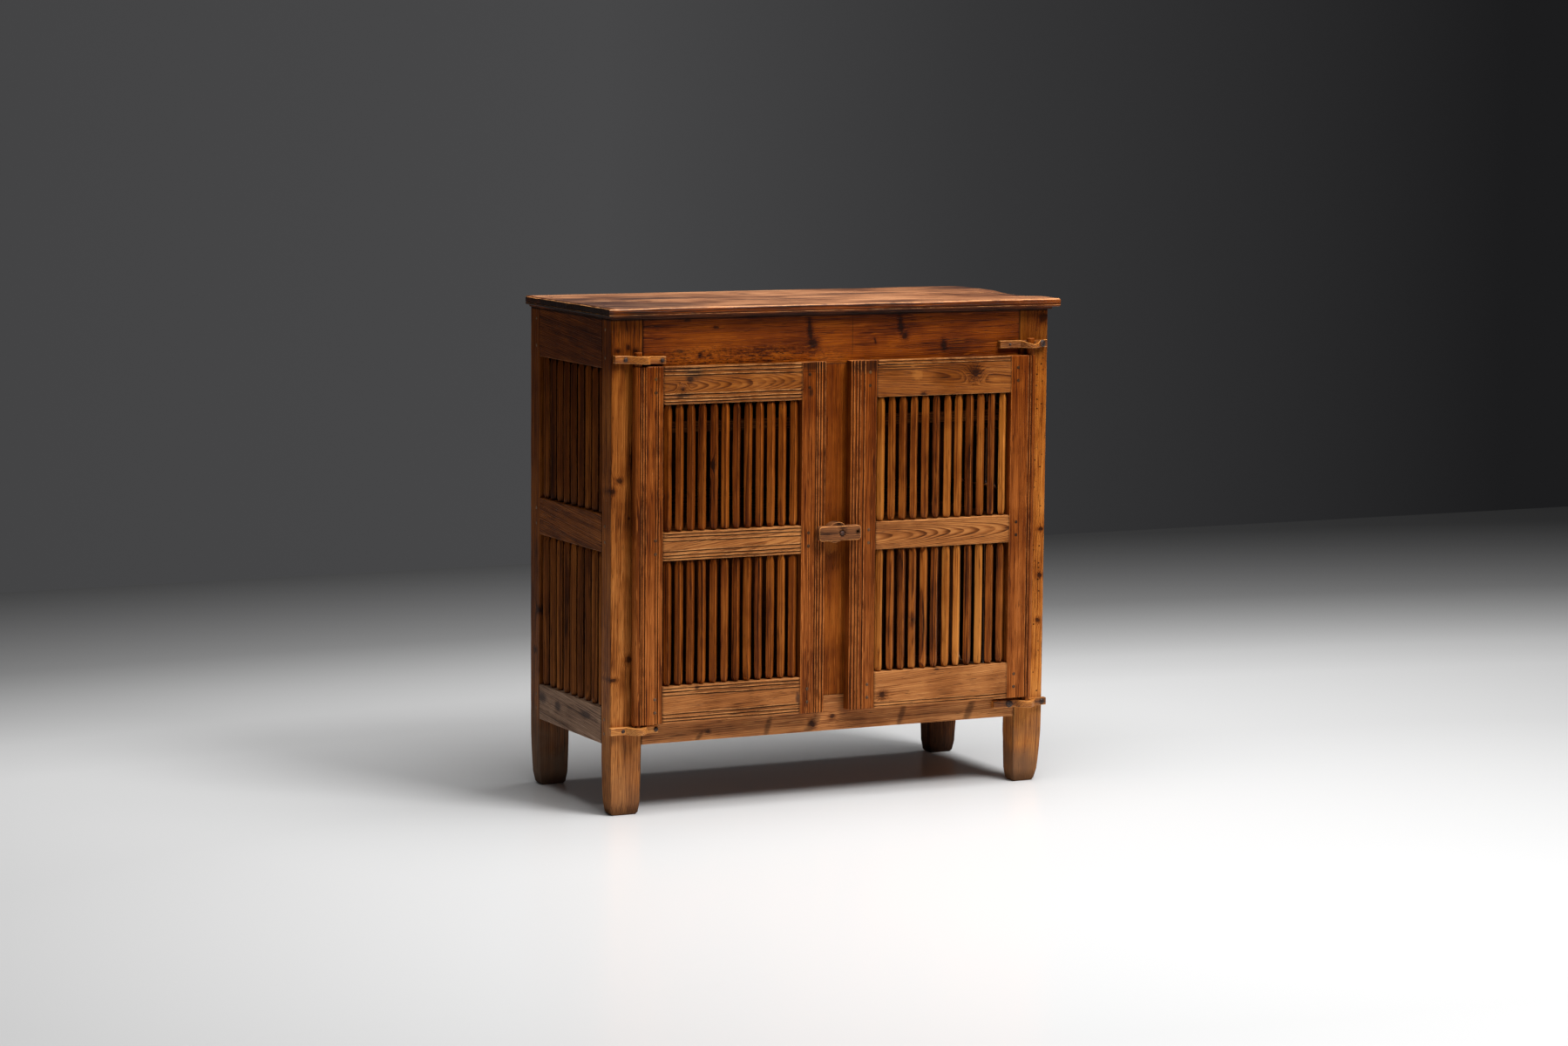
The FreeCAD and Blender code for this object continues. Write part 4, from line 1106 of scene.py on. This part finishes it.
# Wood, pith, lean of the log and slant of the beads of each door rail. Two of them are sawn so
# that the year rings show as nested arches.
DOOR_RAILS = {
    "left": {"top": (LEFT_TOP_PINE, (34, 20), (0.02, 0.06), 1.2),
             "middle": (LEFT_MID_PINE, (-8, 22), (0.15, 0.02), 2.4),
             "bottom": (LEFT_LOW_PINE, (90, 40), (0.04, 0.02), 1.6)},
    "right": {"top": (RIGHT_TOP_PINE, (52, 24), (-0.08, 0.02), 0.0),
              "middle": (RIGHT_MID_PINE, (27, 18), (0.012, 0.05), 0.0),
              "bottom": (RIGHT_LOW_PINE, (90, 40), (0.04, 0.02), 0.0)},
}
PINTLE_RADIUS = 7.9
PINTLE_ROOT = 4
DOOR_PEG_RADIUS = 3.4
SIDE_PEG_RADIUS = 3.6
PEG_LENGTH = 4.0
PEG_SOFT = 0.5
# Places of the pegs beyond the end of a rail, from its middle and from its edge
DOOR_PEG_INSET = 16
DOOR_PEG_SHIFT = 13.5
SIDE_PEG_INSET = 15
SIDE_PEG_EDGE = 22


def scratches(width, places, back_places, low=0.0, wander=0.7, slant=0.0, deep=1.6, half=1.6):
    """Bead grooves counted from the lower and from the higher edge."""
    rows = [(low + place, half, deep, wander, slant * (i + 1) / 3)
            for i, place in enumerate(places)]
    rows += [(width - place, half, deep, wander, -slant * (i + 1) / 3)
             for i, place in enumerate(back_places)]
    return rows


def make_door(side):
    """One door: stiles, rails, bars and pintles."""
    body = side + "_door"
    hinge = box(body + "_hinge_stile")
    lock = box(body + "_lock_stile")
    front, back = lock[0].y, lock[1].y
    thick = back - front
    z0, z1 = lock[0].z, lock[1].z
    left = side == "left"
    hinge_beads, lock_beads = STILE_BEADS[side]
    width = hinge[1].x - hinge[0].x
    outer, inward = (hinge[0].x, 1) if left else (hinge[1].x, -1)

    shell = Shell()
    timber(shell, (outer, front, z0), "+z", "+x" if left else "-x", "+y", (z1 - z0, width, thick),
           beads=scratches(width, *hinge_beads, low=thick / 2, **FINE), ends="ff",
           round_edge=thick / 2 - 0.4, seed=60 if left else 61, pith=(-60, 60), dents=0.5)
    x, y = outer + inward * thick / 2, (front + back) / 2
    rod(shell, (x, y, z1 - PINTLE_ROOT), "+z", hinge[1].z - z1 + PINTLE_ROOT, PINTLE_RADIUS, 1.6,
        wear=0.7, uneven=0.012, seed=1)
    rod(shell, (x, y, hinge[0].z), "+z", z0 - hinge[0].z + PINTLE_ROOT, PINTLE_RADIUS, 1.2, seed=2)
    piece(side + "_stile_hinge", shell, STILE_PINES[side], "door_pine", body + "_hinge_stile",
          body=body)
    width = lock[1].x - lock[0].x
    beam(side + "_stile_lock", body + "_lock_stile", STILE_PINES[side], "door_pine",
         (lock[0].x, front, z0), "+z", "+x", "+y", (z1 - z0, width, thick), body=body,
         arris=1.0, beads=scratches(width, *lock_beads, **BOLD), ends="ff",
         seed=62 if left else 63, pith=(100, 50), dents=0.6)

    x0, x1 = (hinge[1].x, lock[0].x) if left else (lock[1].x, hinge[0].x)
    rails = rails_of(body + "_")
    for number, (name, (low, high)) in enumerate(rails.items()):
        wood, pith, lean, slant = DOOR_RAILS[side][name]
        places = RAIL_BEADS if left else PLAIN_BEADS
        grooves = scratches(high - low, places if left or name == "bottom" else (),
                            places if left or name == "top" else (),
                            **({"slant": slant, "wander": 0.9} if left else FINE))
        beam(side + "_rail_" + name, body + "_" + name + "_rail", wood, "door_pine",
             (x0, front, low), "+x", "+z", "+y", (x1 - x0, high - low, thick), body=body,
             arris=1.1, beads=grooves, seed=70 + number + (0 if left else 5), pith=pith,
             lean=lean, dents=0.9, step=14)
    for name, low_z, high_z in openings(rails):
        node = body + "_" + name + "_bars"
        low, high = box(node)
        half = (high.y - low.y) / 2
        tones = BAR_TONES[side + "_" + name]
        pitch = (high.x - low.x - 2 * half) / (len(tones) - 1)
        shell = Shell()
        for i, tone in enumerate(tones):
            seed = 80 + i + (0 if left else 20) + (40 if name == "lower" else 0)
            bar(shell, low.x + half + pitch * i, (low.y + high.y) / 2, low_z, high_z, half, seed,
                tone)
        piece(side + "_bars_" + name, shell, BAR_PINES[side], "bar_pine", node, body=body)
    make_door_pegs(side, (x0 - DOOR_PEG_INSET, x1 + DOOR_PEG_INSET), front - 0.5, rails)


def make_door_pegs(side, columns, y, rails):
    """The pegs' ends, a little proud of the stiles."""
    shell = Shell()
    number = 0
    for low, high in rails.values():
        for x in columns:
            for shift in (-DOOR_PEG_SHIFT, DOOR_PEG_SHIFT):
                number += 1
                rod(shell, (x, y, (low + high) / 2 + shift), "+y", PEG_LENGTH, DOOR_PEG_RADIUS,
                    PEG_SOFT, sides=10, dirt=0.2, tone=random.Random(number).uniform(-0.6, 0.3),
                    uneven=0.1, seed=number)
    piece(side + "_peg_ends", shell, PEG_PINE, "peg_wood", side + "_door_pegs",
          body=side + "_door")


def make_side_pegs():
    """Peg ends in the side rails' joints."""
    rails = rails_of("left_side_")
    for side, x, way in (("left", x_left - 0.4, "+x"), ("right", 0.4 - x_left, "-x")):
        shell = Shell()
        number = 0
        for low, high in rails.values():
            for y in (y_front_in - SIDE_PEG_INSET, y_back_in + SIDE_PEG_INSET):
                for z in (low + SIDE_PEG_EDGE, high - SIDE_PEG_EDGE):
                    number += 1
                    rod(shell, (x, y, z), way, PEG_LENGTH, SIDE_PEG_RADIUS, PEG_SOFT, sides=10,
                        wear=1.0, dirt=0.3, tone=0.2, uneven=0.1, seed=number)
        piece(side + "_side_peg_ends", shell, PEG_PINE, "peg_wood", side + "_side_pegs")


# The top: two boards, with a nosing worn more in some places than others
def top_wear(x, y):
    """How far the top's right and left ends are worn in, and how far the upper edge is down."""
    right = fading(box_high.x - x, 60)
    left_end = fading(x - box_low.x, 60)
    from_front = y - box_low.y
    hollow = bump_at(y, -35, 120)
    inward = 2.6 * max(0.0, wave(y / 16, 4.0) - 0.25) * left_end ** 3 - 7.0 * hollow * right ** 2
    down = 4.2 * hollow * right
    down += 1.2 * abs(wave(x / 55, 2.0)) * fading(from_front, 14)
    down += 3.4 * bump_at(x, box_low.x + 20, 120) * fading(from_front, 26)
    down += 2.2 * bump_at(x, box_high.x - 90, 9) * fading(from_front, 9)
    down += 1.5 * max(0.0, wave(y / 22, 9.0)) * left_end
    return inward, down


def corner_pull(x, y, cx, cy, sx, sy, radius):
    """Round one corner of the plan: points in its square move onto the quarter disc."""
    a = (x - (cx - sx * radius)) * sx / radius
    b = (y - (cy - sy * radius)) * sy / radius
    if a <= 0 or b <= 0:
        return x, y
    a, b = min(a, 1.0), min(b, 1.0)
    round_a = a * math.sqrt(1 - b * b / 2)
    round_b = b * math.sqrt(1 - a * a / 2)
    return cx - sx * radius * (1 - round_a), cy - sy * radius * (1 - round_b)


# Grid places at an edge with the nosing, and at a plain one
NOSED = (0.0, 0.12, 0.5, 1.1, 2.0, 3.2, 4.6, 7.0, 9.5, 12.6, 13.2, 17.0, 24.0)
UNNOSED = (0.0, 0.35, 1.0, 4.0)
NOSE_RADIUS = 3.4
NOSE_HEIGHT = 5.0
STEP_IN = 13.0
# Rows down the nosing: height, how far in, wear, dirt
NOSE_ROWS = ((3.0, 0.0, 0.1, 0.0), (2.2, 1.2, 0.0, 0.6), (1.5, 1.2, 0.0, 0.6), (0.8, 0.1, 1.0, 0.0))
FAR = 99


def edge_rows(low, high, start, end, step):
    """Grid places from edge to edge."""
    inner_low, inner_high = low + start[-1], high - end[-1]
    count = max(2, round((inner_high - inner_low) / step))
    middle = [inner_low + (inner_high - inner_low) * i / count for i in range(1, count)]
    return [low + s for s in start] + middle + [high - e for e in reversed(end)]


def top_board(name, nosed, seed, pith):
    """One board of the top as two skins over a grid, joined round the rim."""
    shell = Shell()
    (x0, y0, _), (x1, y1, _) = box(name)
    z_high = box_high.z
    xs = edge_rows(x0, x1, NOSED, NOSED, 19.0)
    ys = edge_rows(y0, y1, NOSED if nosed else UNNOSED, UNNOSED, 15.0)
    corners = ((x1, box_high.y, 1, 1, 30), (x1, box_low.y, 1, -1, 12),
               (x0, box_low.y, -1, -1, 7), (x0, box_high.y, -1, 1, 12))
    skins = ([], [])
    for x in xs:
        columns = ([], [])
        for y in ys:
            d = min(x - x0, x1 - x, y - y0 if nosed else FAR)
            joint = min(FAR if nosed else y - y0, y1 - y)
            fall = rounding(d, 3.6 + 1.2 * wave(x / 45, y / 45, 6.0)) + 0.9 * fading(d, 9) ** 2
            soft = max(0.0, 1.0 - joint) * 0.9
            inward, down = top_wear(x, y)
            px, py = x + inward, y
            for corner in corners:
                px, py = corner_pull(px, py, *corner)
            ripple = 0.5 * wave(x / 150, y / 30, seed) + 0.25 * wave(x / 60, y / 12, seed + 3)
            upper = z_high - fall - soft - down * (1 if d < 24 else fading(d - 24, 30))
            upper += min(0.0, ripple - 0.4) * min(1.0, d / 9)
            on_nose = d < STEP_IN - 0.1
            lower = z_top + NOSE_HEIGHT + rounding(d, NOSE_RADIUS) if on_nose else z_top
            wear = 1.0 if 0.5 < d < 3.0 else (0.3 if d < 8 else 0.0)
            if joint < 1.5:
                wear = 0.8
            for skin, z in ((0, max(upper, lower + 2)), (1, lower)):
                wood = (px + STRETCH * seed, y - pith[0], z - z_high + pith[1])
                dirt = 0.0 if skin == 0 else (0.5 if d < STEP_IN + 4 else 0.15)
                if joint < 0.3:
                    dirt = 1.0
                # Painted shade: the lower skin, the nosing that takes its tone, the very edge and the
                # last 14 mm of the left end are darker. The top is also a little darker towards the
                # right.
                dark = -0.3 if skin or d < 0.3 else 0.0
                dark -= 0.9 * fading(x - x0, 14) + 0.1 * held((x - 60) / 240)
                columns[skin].append(shell.add(Vector((px, py, z)), wood,
                                               wear if skin == 0 else 0.25, dirt, dark))
        for skin, column in zip(skins, columns):
            skin.append(column)
    nx, ny = len(xs), len(ys)
    up, down_skin = skins
    for i in range(nx - 1):
        for j in range(ny - 1):
            shell.face((up[i][j], up[i + 1][j], up[i + 1][j + 1], up[i][j + 1]))
            shell.face((down_skin[i][j], down_skin[i][j + 1], down_skin[i + 1][j + 1],
                        down_skin[i + 1][j]))
    rim = [(i, 0) for i in range(nx)] + [(nx - 1, j) for j in range(1, ny)]
    rim += [(i, ny - 1) for i in range(nx - 2, -1, -1)] + [(0, j) for j in range(ny - 2, 0, -1)]
    strips = [[up[i][j] for i, j in rim]]
    for above, inset, wear, dirt in NOSE_ROWS:
        strip = []
        for i, j in rim:
            lower = down_skin[i][j]
            in_x = (i == 0) - (i == nx - 1)
            in_y = int(j == 0 and nosed)
            at = shell.points[lower] + Vector((in_x * inset, in_y * inset, above))
            at.z = min(at.z, shell.points[up[i][j]].z - 0.4)
            grain, _, _, tone = shell.values[lower]
            strip.append(shell.add(at, grain, wear, dirt, tone))
        strips.append(strip)
    strips.append([down_skin[i][j] for i, j in rim])
    for one, two in zip(strips, strips[1:]):
        shell.wrap(one, two)
    return shell


def make_top():
    """Both boards of the top and the nail heads in them."""
    piece("top_board_front", top_board("top_front_board", True, 91, (-130, 55)), TOP_PINE,
          "top_pine", "top_front_board")
    piece("top_board_back", top_board("top_back_board", False, 92, (150, 70)), TOP_PINE,
          "top_pine", "top_back_board")
    rows = []
    for y0, y1 in ((y_front, box("top_front_board")[1].y), (box("top_back_board")[0].y, y_back)):
        for y in (y0 + (y1 - y0) * 0.35, y1 - (y1 - y0) * 0.35):
            for x in (x_left + rail_t / 2, -x_left - rail_t / 2):
                rows.append(((x, y, cad_box[1].z / MM - 0.9), "+z", 3.3, 0.9))
    nails("nail_heads_top", "top_nails", rows)


# Each ear: how deep its top is hollowed, its apex and flanks in plan, how it lies, and its nails
# as (place from the pivot, radius, drop)
EAR_LOOKS = {
    "left_top": dict(scoop=0.6, apex=20.0, flank=1.3, tilt=(-1.5, -0.035), seed=1,
                     nails=((-27.0, 4.2, 2.4), (53.0, 4.0, 5.2))),
    "left_bottom": dict(scoop=1.6, apex=0.0, flank=1.7, tilt=(1.0, 0.0), seed=2,
                        nails=((-30.0, 3.8, -1.0), (42.0, 4.8, -1.0))),
    "right_top": dict(scoop=7.5, apex=-2.0, flank=1.5, tilt=(0.0, 0.0), seed=3,
                      nails=((-49.0, 2.6, 0), (28.5, 7.0, 0))),
    "right_bottom": dict(scoop=1.5, apex=0.0, flank=1.8, tilt=(0.0, 0.0), seed=4,
                         nails=((-38.0, 7.4, 0), (41.0, 5.6, 0))),
}
EAR_HALF = 24.0
EAR_END = 12.0
EAR_BORE = 8.7
EAR_BORE_FORWARD = 11.6
EAR_NAIL_FORWARD = 12.2
BOW_STEPS = 14
PIVOT_FROM_EDGE = 11.0


def make_ear(name, pivot_x, look):
    """A nailed ear with a bowed middle round its pintle, whittled and worn."""
    low, high = box(name + "_ear")
    end_y = high.y - EAR_END
    x0, x1 = low.x, high.x
    outline = [(x0 + 0.8, end_y + 1.0), ((x0 + pivot_x - EAR_HALF) / 2, end_y)]
    for i in range(BOW_STEPS + 1):
        part = 2 * i / BOW_STEPS - 1
        lean = look["apex"] * (1 - part * part)
        away = (1 - abs(part) ** look["flank"]) * (end_y - low.y)
        outline.append((pivot_x + EAR_HALF * part + lean * 0.6, end_y - away))
    outline += [((x1 + pivot_x + EAR_HALF) / 2, end_y), (x1 - 0.8, end_y + 1.0), (x1, high.y),
                ((x0 + x1) / 2, high.y), (x0, high.y)]

    def lift(x, y):
        forward = held((end_y + 8 - y) / 16)
        dip = -look["scoop"] * bump_at(x, pivot_x + 1, 30) * (0.35 + 0.65 * forward)
        return dip + 0.7 * wave(x / 14, y / 9, look["seed"])

    shell = Shell()
    shift, slope = look["tilt"]
    plate(shell, lambda a, b, c: Vector((a, b, c + shift + slope * (a - x0))),
          [Vector(point) for point in outline], (low.z, high.z), 1.3,
          lambda a, b, c: (a + STRETCH * look["seed"], b + 62 - y_front, c - low.z + 22),
          (hole(pivot_x, y_front - EAR_BORE_FORWARD, EAR_BORE, 20),), lift, grid=5.0, levels=3)
    piece("ear_" + name, shell, EAR_PINE, "ear_pine", name + "_ear")


def make_ears():
    """Four ears with their nails."""
    pivots = {"left": box("left_door_hinge_stile")[0].x + PIVOT_FROM_EDGE,
              "right": box("right_door_hinge_stile")[1].x - PIVOT_FROM_EDGE}
    rows = []
    for name, look in EAR_LOOKS.items():
        pivot_x = pivots[name.split("_")[0]]
        make_ear(name, pivot_x, look)
        low, high = box(name + "_ear")
        for x, radius, drop in look["nails"]:
            at = pivot_x + x, y_front - EAR_NAIL_FORWARD, (low.z + high.z) / 2 - drop
            rows.append((at, "-y", radius, 1.0 + radius * 0.22))
    nails("nail_heads_ears", "ear_nails", rows)


def worn_oblong(low, high, radius):
    """Outline of an oblong with round corners, its edges worn in here and there."""
    outline = []
    for x, z, start in ((high.x - radius, high.z - radius, 0), (low.x + radius, high.z - radius, 90),
                        (low.x + radius, low.z + radius, 180), (high.x - radius, low.z + radius, 270)):
        for i in range(5):
            angle = math.radians(start + i * 22.5)
            outline.append(Vector((x, z)) + Vector((math.cos(angle), math.sin(angle))) * radius)
    centre = Vector(((low.x + high.x) / 2, (low.z + high.z) / 2))
    dense = []
    for i, point in enumerate(outline):
        following = outline[(i + 1) % len(outline)]
        parts = max(1, round((following - point).length / 8))
        for k in range(parts):
            spot = point.lerp(following, k / parts)
            pull = 0.7 * (wave(spot.x / 15, spot.y / 10, 5) - 0.6)
            dense.append(spot + (centre - spot).normalized() * -pull if pull < 0 else spot)
    return dense


BUTTON_CORNER = 7.5
NAIL_HOLE = 4.4
DISC_HOLE = 3.4
DISC_RADIUS = 24.0


def make_button():
    """The turn button, its disc and its nail."""
    low, high = box("turn_button")
    disc_low, disc_high = box("button_disc")
    mid_z = (low.z + high.z) / 2

    def lift(x, z):
        hollow = -3.0 * max(0.0, 1 - (math.hypot(x - NAIL_X, z - mid_z) / 10) ** 2)
        return hollow + 0.9 * wave(x / 18, z / 9, 2) - 0.6

    shell = Shell()
    plate(shell, lambda a, b, c: Vector((a, high.y - c, b)), worn_oblong(low, high, BUTTON_CORNER),
          (0.0, high.y - low.y), 2.6, lambda a, b, c: (a + 4000, b - mid_z + 26, c + 22),
          (hole(NAIL_X, mid_z, NAIL_HOLE, 14), hole(high.x - 8.0, mid_z + 2, 2.6, 12)), lift,
          grid=4.0, levels=3)
    piece("button", shell, BUTTON_PINE, "button_wood", "turn_button", body="turn_button")

    outline = []
    for angle, c, s in spokes(36):
        away = DISC_RADIUS - 6.0 * max(0.0, math.cos(angle + 0.55)) - 4.0 * max(0.0, -s) ** 3
        away += 0.5 * wave(c * 2, s * 2, 3)
        outline.append(Vector((NAIL_X - 1.5 + away * c,
                               (disc_low.z + disc_high.z) / 2 + away * s)))
    shell = Shell()
    plate(shell, lambda a, b, c: Vector((a, disc_high.y - c, b)), outline,
          (0.0, disc_high.y - disc_low.y), 1.4, lambda a, b, c: (c + 5000, a + 24, b - mid_z + 30),
          (hole(NAIL_X, mid_z, DISC_HOLE, 12),), grid=7.0, levels=2)
    piece("disc_of_button", shell, BUTTON_PINE, "button_wood", "button_disc")

    shell = Shell()
    nail_head(shell, (NAIL_X, low.y + 2.6, mid_z), "-y", 4.6, 2.2, 3)
    rod(shell, (NAIL_X, low.y + 2.4, mid_z), "+y", y_front + 10 - low.y, 2.8, 0.4, 12)
    piece("nail_of_button", shell, IRON, "iron", "button_nail")


BACK_BOARDS = 5
BACK_GAP = 1.0


def make_back():
    """Boards, rails and nail heads of the back."""
    shell = Shell()
    low, high = box("back_boards")
    pitch = (high.x - low.x + BACK_GAP) / BACK_BOARDS
    edges = [low.x + pitch * i - BACK_GAP / 2 for i in range(BACK_BOARDS + 1)]
    for i in range(BACK_BOARDS):
        x0, x1 = max(low.x, edges[i]), min(high.x, edges[i + 1])
        timber(shell, (x0, high.y, low.z), "+z", "+x", "-y",
               (high.z - low.z, x1 - x0, high.y - low.y), arris=0.7, ends="ff", seed=110 + i,
               pith=(pitch * (0.2 + 0.15 * i), 34 + 6 * i), lean=(0.01, 0.012), dents=0.7,
               tone=random.Random(i).uniform(-0.3, 0.3), step=30)
    piece("boards_of_back", shell, BACK_PINE, "inside_pine", "back_boards")
    for number, name in enumerate(LEVELS):
        node = "back_" + name + "_rail"
        low_r, high_r = box(node)
        beam("rail_back_" + name, node, INSIDE_PINE, "frame_pine", (x_in, low_r.y, low_r.z), "+x",
             "+z", "+y", (-2 * x_in, high_r.z - low_r.z, high_r.y - low_r.y), seed=120 + number)
    nails("nail_heads_back", "back_nails",
          [((x, high.y - 0.5, (z0 + z1) / 2), "+y") for i in range(BACK_BOARDS)
           for x in (edges[i] + 32, edges[i + 1] - 32) for z0, z1 in rails_of("back_").values()])


def notched(low, high, gap=1.0):
    """Outline of a board across the inside, cut round the posts it meets."""
    x0, x1, y0, y1 = low.x, high.x, low.y, high.y
    x_post = x_in + gap
    y_post = y_front_in + gap
    y_back_post = y_back_in - gap
    back = [(x1, y_back_post), (-x_post, y_back_post), (-x_post, y1), (x_post, y1),
            (x_post, y_back_post), (x0, y_back_post)]
    if y0 < y_post - 0.5:
        corners = [(x_post, y0), (-x_post, y0), (-x_post, y_post), (x1, y_post)] + back
        corners += [(x0, y_post), (x_post, y_post)]
    else:
        corners = [(x0, y0), (x1, y0)] + back
    return [Vector(c) for c in corners]


CLEAT = 20.0


def make_inside():
    """Floor, shelves, cleats and their nail heads."""
    for number, (name, node) in enumerate((("floor", "floor_board"), ("shelf_upper", "upper_shelf"),
                                           ("shelf_lower", "lower_shelf"))):
        low, high = box(node)
        shell = Shell()
        plate(shell, lambda *at: Vector(at), notched(low, high), (low.z, high.z), 1.0,
              lambda a, b, c: (a + 900 * number, b + 120 * number + 60, c - low.z + 35), grid=40.0)
        piece(name, shell, INSIDE_PINE, "inside_pine", node)
    low, high = box("floor_cleats")
    shell = Shell()
    for y in (low.y, high.y - CLEAT):
        timber(shell, (x_in, y, low.z), "+x", "+z", "+y", (-2 * x_in, high.z - low.z, CLEAT),
               seed=130)
    piece("cleats_floor", shell, INSIDE_PINE, "inside_pine", "floor_cleats")
    rows = [((x, y, (low.z + high.z) / 2), way) for x in (x_in + 60, 0, -x_in - 60)
            for y, way in ((low.y + CLEAT, "+y"), (high.y - CLEAT, "-y"))]
    for name in ("upper", "lower"):
        low, high = box(name + "_shelf_cleats")
        shell = Shell()
        for x, across in ((low.x, "+x"), (high.x, "-x")):
            timber(shell, (x, low.y, high.z), "+y", across, "-z",
                   (high.y - low.y, CLEAT, high.z - low.z), seed=132, ends="ff")
        piece("cleats_" + name, shell, INSIDE_PINE, "inside_pine", name + "_shelf_cleats")
        rows += [((x, y, (low.z + high.z) / 2), way) for y in (y_front_in - 11.5, y_back_in + 11.5)
                 for x, way in ((x_in + CLEAT, "+x"), (-x_in - CLEAT, "-x"))]
    nails("nail_heads_inside", "cleat_nails", rows)


make_posts()
make_front()
make_sides()
make_side_pegs()
make_top()
make_door("left")
make_door("right")
make_ears()
make_button()
make_back()
make_inside()


# Stage: pale floor, soft lights, camera
# The floor's greys paint a pool of light round the object that fades with distance
FLOOR_CENTRE = (0.5, -1.0, 0.0)
FLOOR_REACH = 5.0
FLOOR_LIGHT_POOL = ((0.0, 229), (0.24, 234), (0.38, 250), (0.45, 244), (0.63, 174), (0.9, 98))
FLOOR_SIDE = 60.0
WALL_LINE = 3.45
# The wall's greys paint its shading, darker towards the right
WALL_SHADING_GREYS = ((0.0, 68), (0.38, 71), (0.62, 54), (0.82, 41), (0.95, 28))
WALL_ACROSS = (0.895, -0.446, 0.0)
FILL = 0.05
# Each lamp: name, place, target, size and power
LAMPS = (("key", (1.3, -2.8, 4.1), (0.0, 0.0, 0.4), 1.6, 175),
         ("overhead", (0.3, -0.7, 3.4), (0.1, -0.3, 0.0), 2.6, 140))
YAW, PITCH, ROLL = 0.4618, 0.1211, 0.0085
FOCAL_PIXELS, IMAGE_WIDTH, SENSOR = 4494.6, 1799, 36.0
CAMERA_PLACE = (-3.6371, -7.2654, 1.5391)


def make_floor():
    """A pale floor with a painted pool of light that fades to grey away from the object, ending at the
    wall line.
    """
    material, g, shader = surface("pale_floor")
    middle = g.vector("SUBTRACT", g.add("TexCoord").outputs["Object"], FLOOR_CENTRE)
    away = g.vector("LENGTH", g.vector("MULTIPLY", middle, (0.45, 1.0, 1.0)), out=1)
    g.feed(shader.inputs["Base Color"],
           g.ramp(g.math("DIVIDE", away, FLOOR_REACH),
                  [(at, colour(grey, grey, grey)) for at, grey in FLOOR_LIGHT_POOL]))
    shader.inputs["Roughness"].default_value = 0.24
    data = bpy.data.meshes.new("floor_sheet")
    data.from_pydata([(-FLOOR_SIDE, -FLOOR_SIDE, 0), (FLOOR_SIDE, -FLOOR_SIDE, 0),
                      (FLOOR_SIDE, WALL_LINE, 0), (-FLOOR_SIDE, WALL_LINE, 0)], [], [(0, 1, 2, 3)])
    data.materials.append(material)
    floor = bpy.data.objects.new("floor_sheet", data)
    bpy.context.scene.collection.objects.link(floor)


def soft_light(name, place, target, size, power):
    """A large soft square lamp that looks at a target."""
    data = bpy.data.lights.new(name, "AREA")
    data.shape = "RECTANGLE"
    data.size = data.size_y = size
    data.energy = power
    lamp = bpy.data.objects.new(name, data)
    lamp.location = place
    lamp.rotation_euler = (Vector(target) - Vector(place)).to_track_quat("-Z", "Y").to_euler()
    bpy.context.scene.collection.objects.link(lamp)


def make_world():
    """Even fill light, and a dim grey wall seen behind everything, with painted shading that darkens
    it towards the right.
    """
    world = bpy.data.worlds.new("studio")
    bpy.context.scene.world = world
    world.use_nodes = True
    world.node_tree.nodes.clear()
    g = Graph(world.node_tree)
    fill = g.fed("Background", ((1.0, 1.0, 1.0, 1.0), FILL))
    across = g.vector("DOT_PRODUCT", g.add("TexCoord").outputs["Generated"], WALL_ACROSS, out=1)
    behind = g.fed("Background", (g.ramp(g.mixed(across, 2.5, 0.5), [
        (at, colour(grey, grey, grey + 1)) for at, grey in WALL_SHADING_GREYS]),))
    rays = g.add("LightPath").outputs
    seen = g.math("MAXIMUM", rays["Is Camera Ray"],
                  g.math("MAXIMUM", rays["Is Glossy Ray"], rays["Is Transmission Ray"]))
    g.feed(g.add("OutputWorld").inputs[0], g.fed("MixShader", (seen, fill, behind)))


def make_camera():
    """The camera, at the photograph's place and angle."""
    forward = Vector((math.sin(YAW) * math.cos(PITCH), math.cos(YAW) * math.cos(PITCH),
                      -math.sin(PITCH)))
    right = forward.cross(Vector((0, 0, 1))).normalized()
    up = right.cross(forward)
    right_r = right * math.cos(ROLL) + up * math.sin(ROLL)
    up_r = up * math.cos(ROLL) - right * math.sin(ROLL)
    data = bpy.data.cameras.new("camera")
    data.sensor_width = SENSOR
    data.lens = FOCAL_PIXELS / IMAGE_WIDTH * SENSOR
    camera = bpy.data.objects.new("camera", data)
    turn = Matrix((right_r, up_r, -forward)).transposed().to_4x4()
    camera.matrix_world = Matrix.Translation(CAMERA_PLACE) @ turn
    bpy.context.scene.collection.objects.link(camera)
    bpy.context.scene.camera = camera


make_floor()
make_world()
for lamp_row in LAMPS:
    soft_light(*lamp_row)
make_camera()
bpy.context.scene.view_settings.view_transform = "Standard"
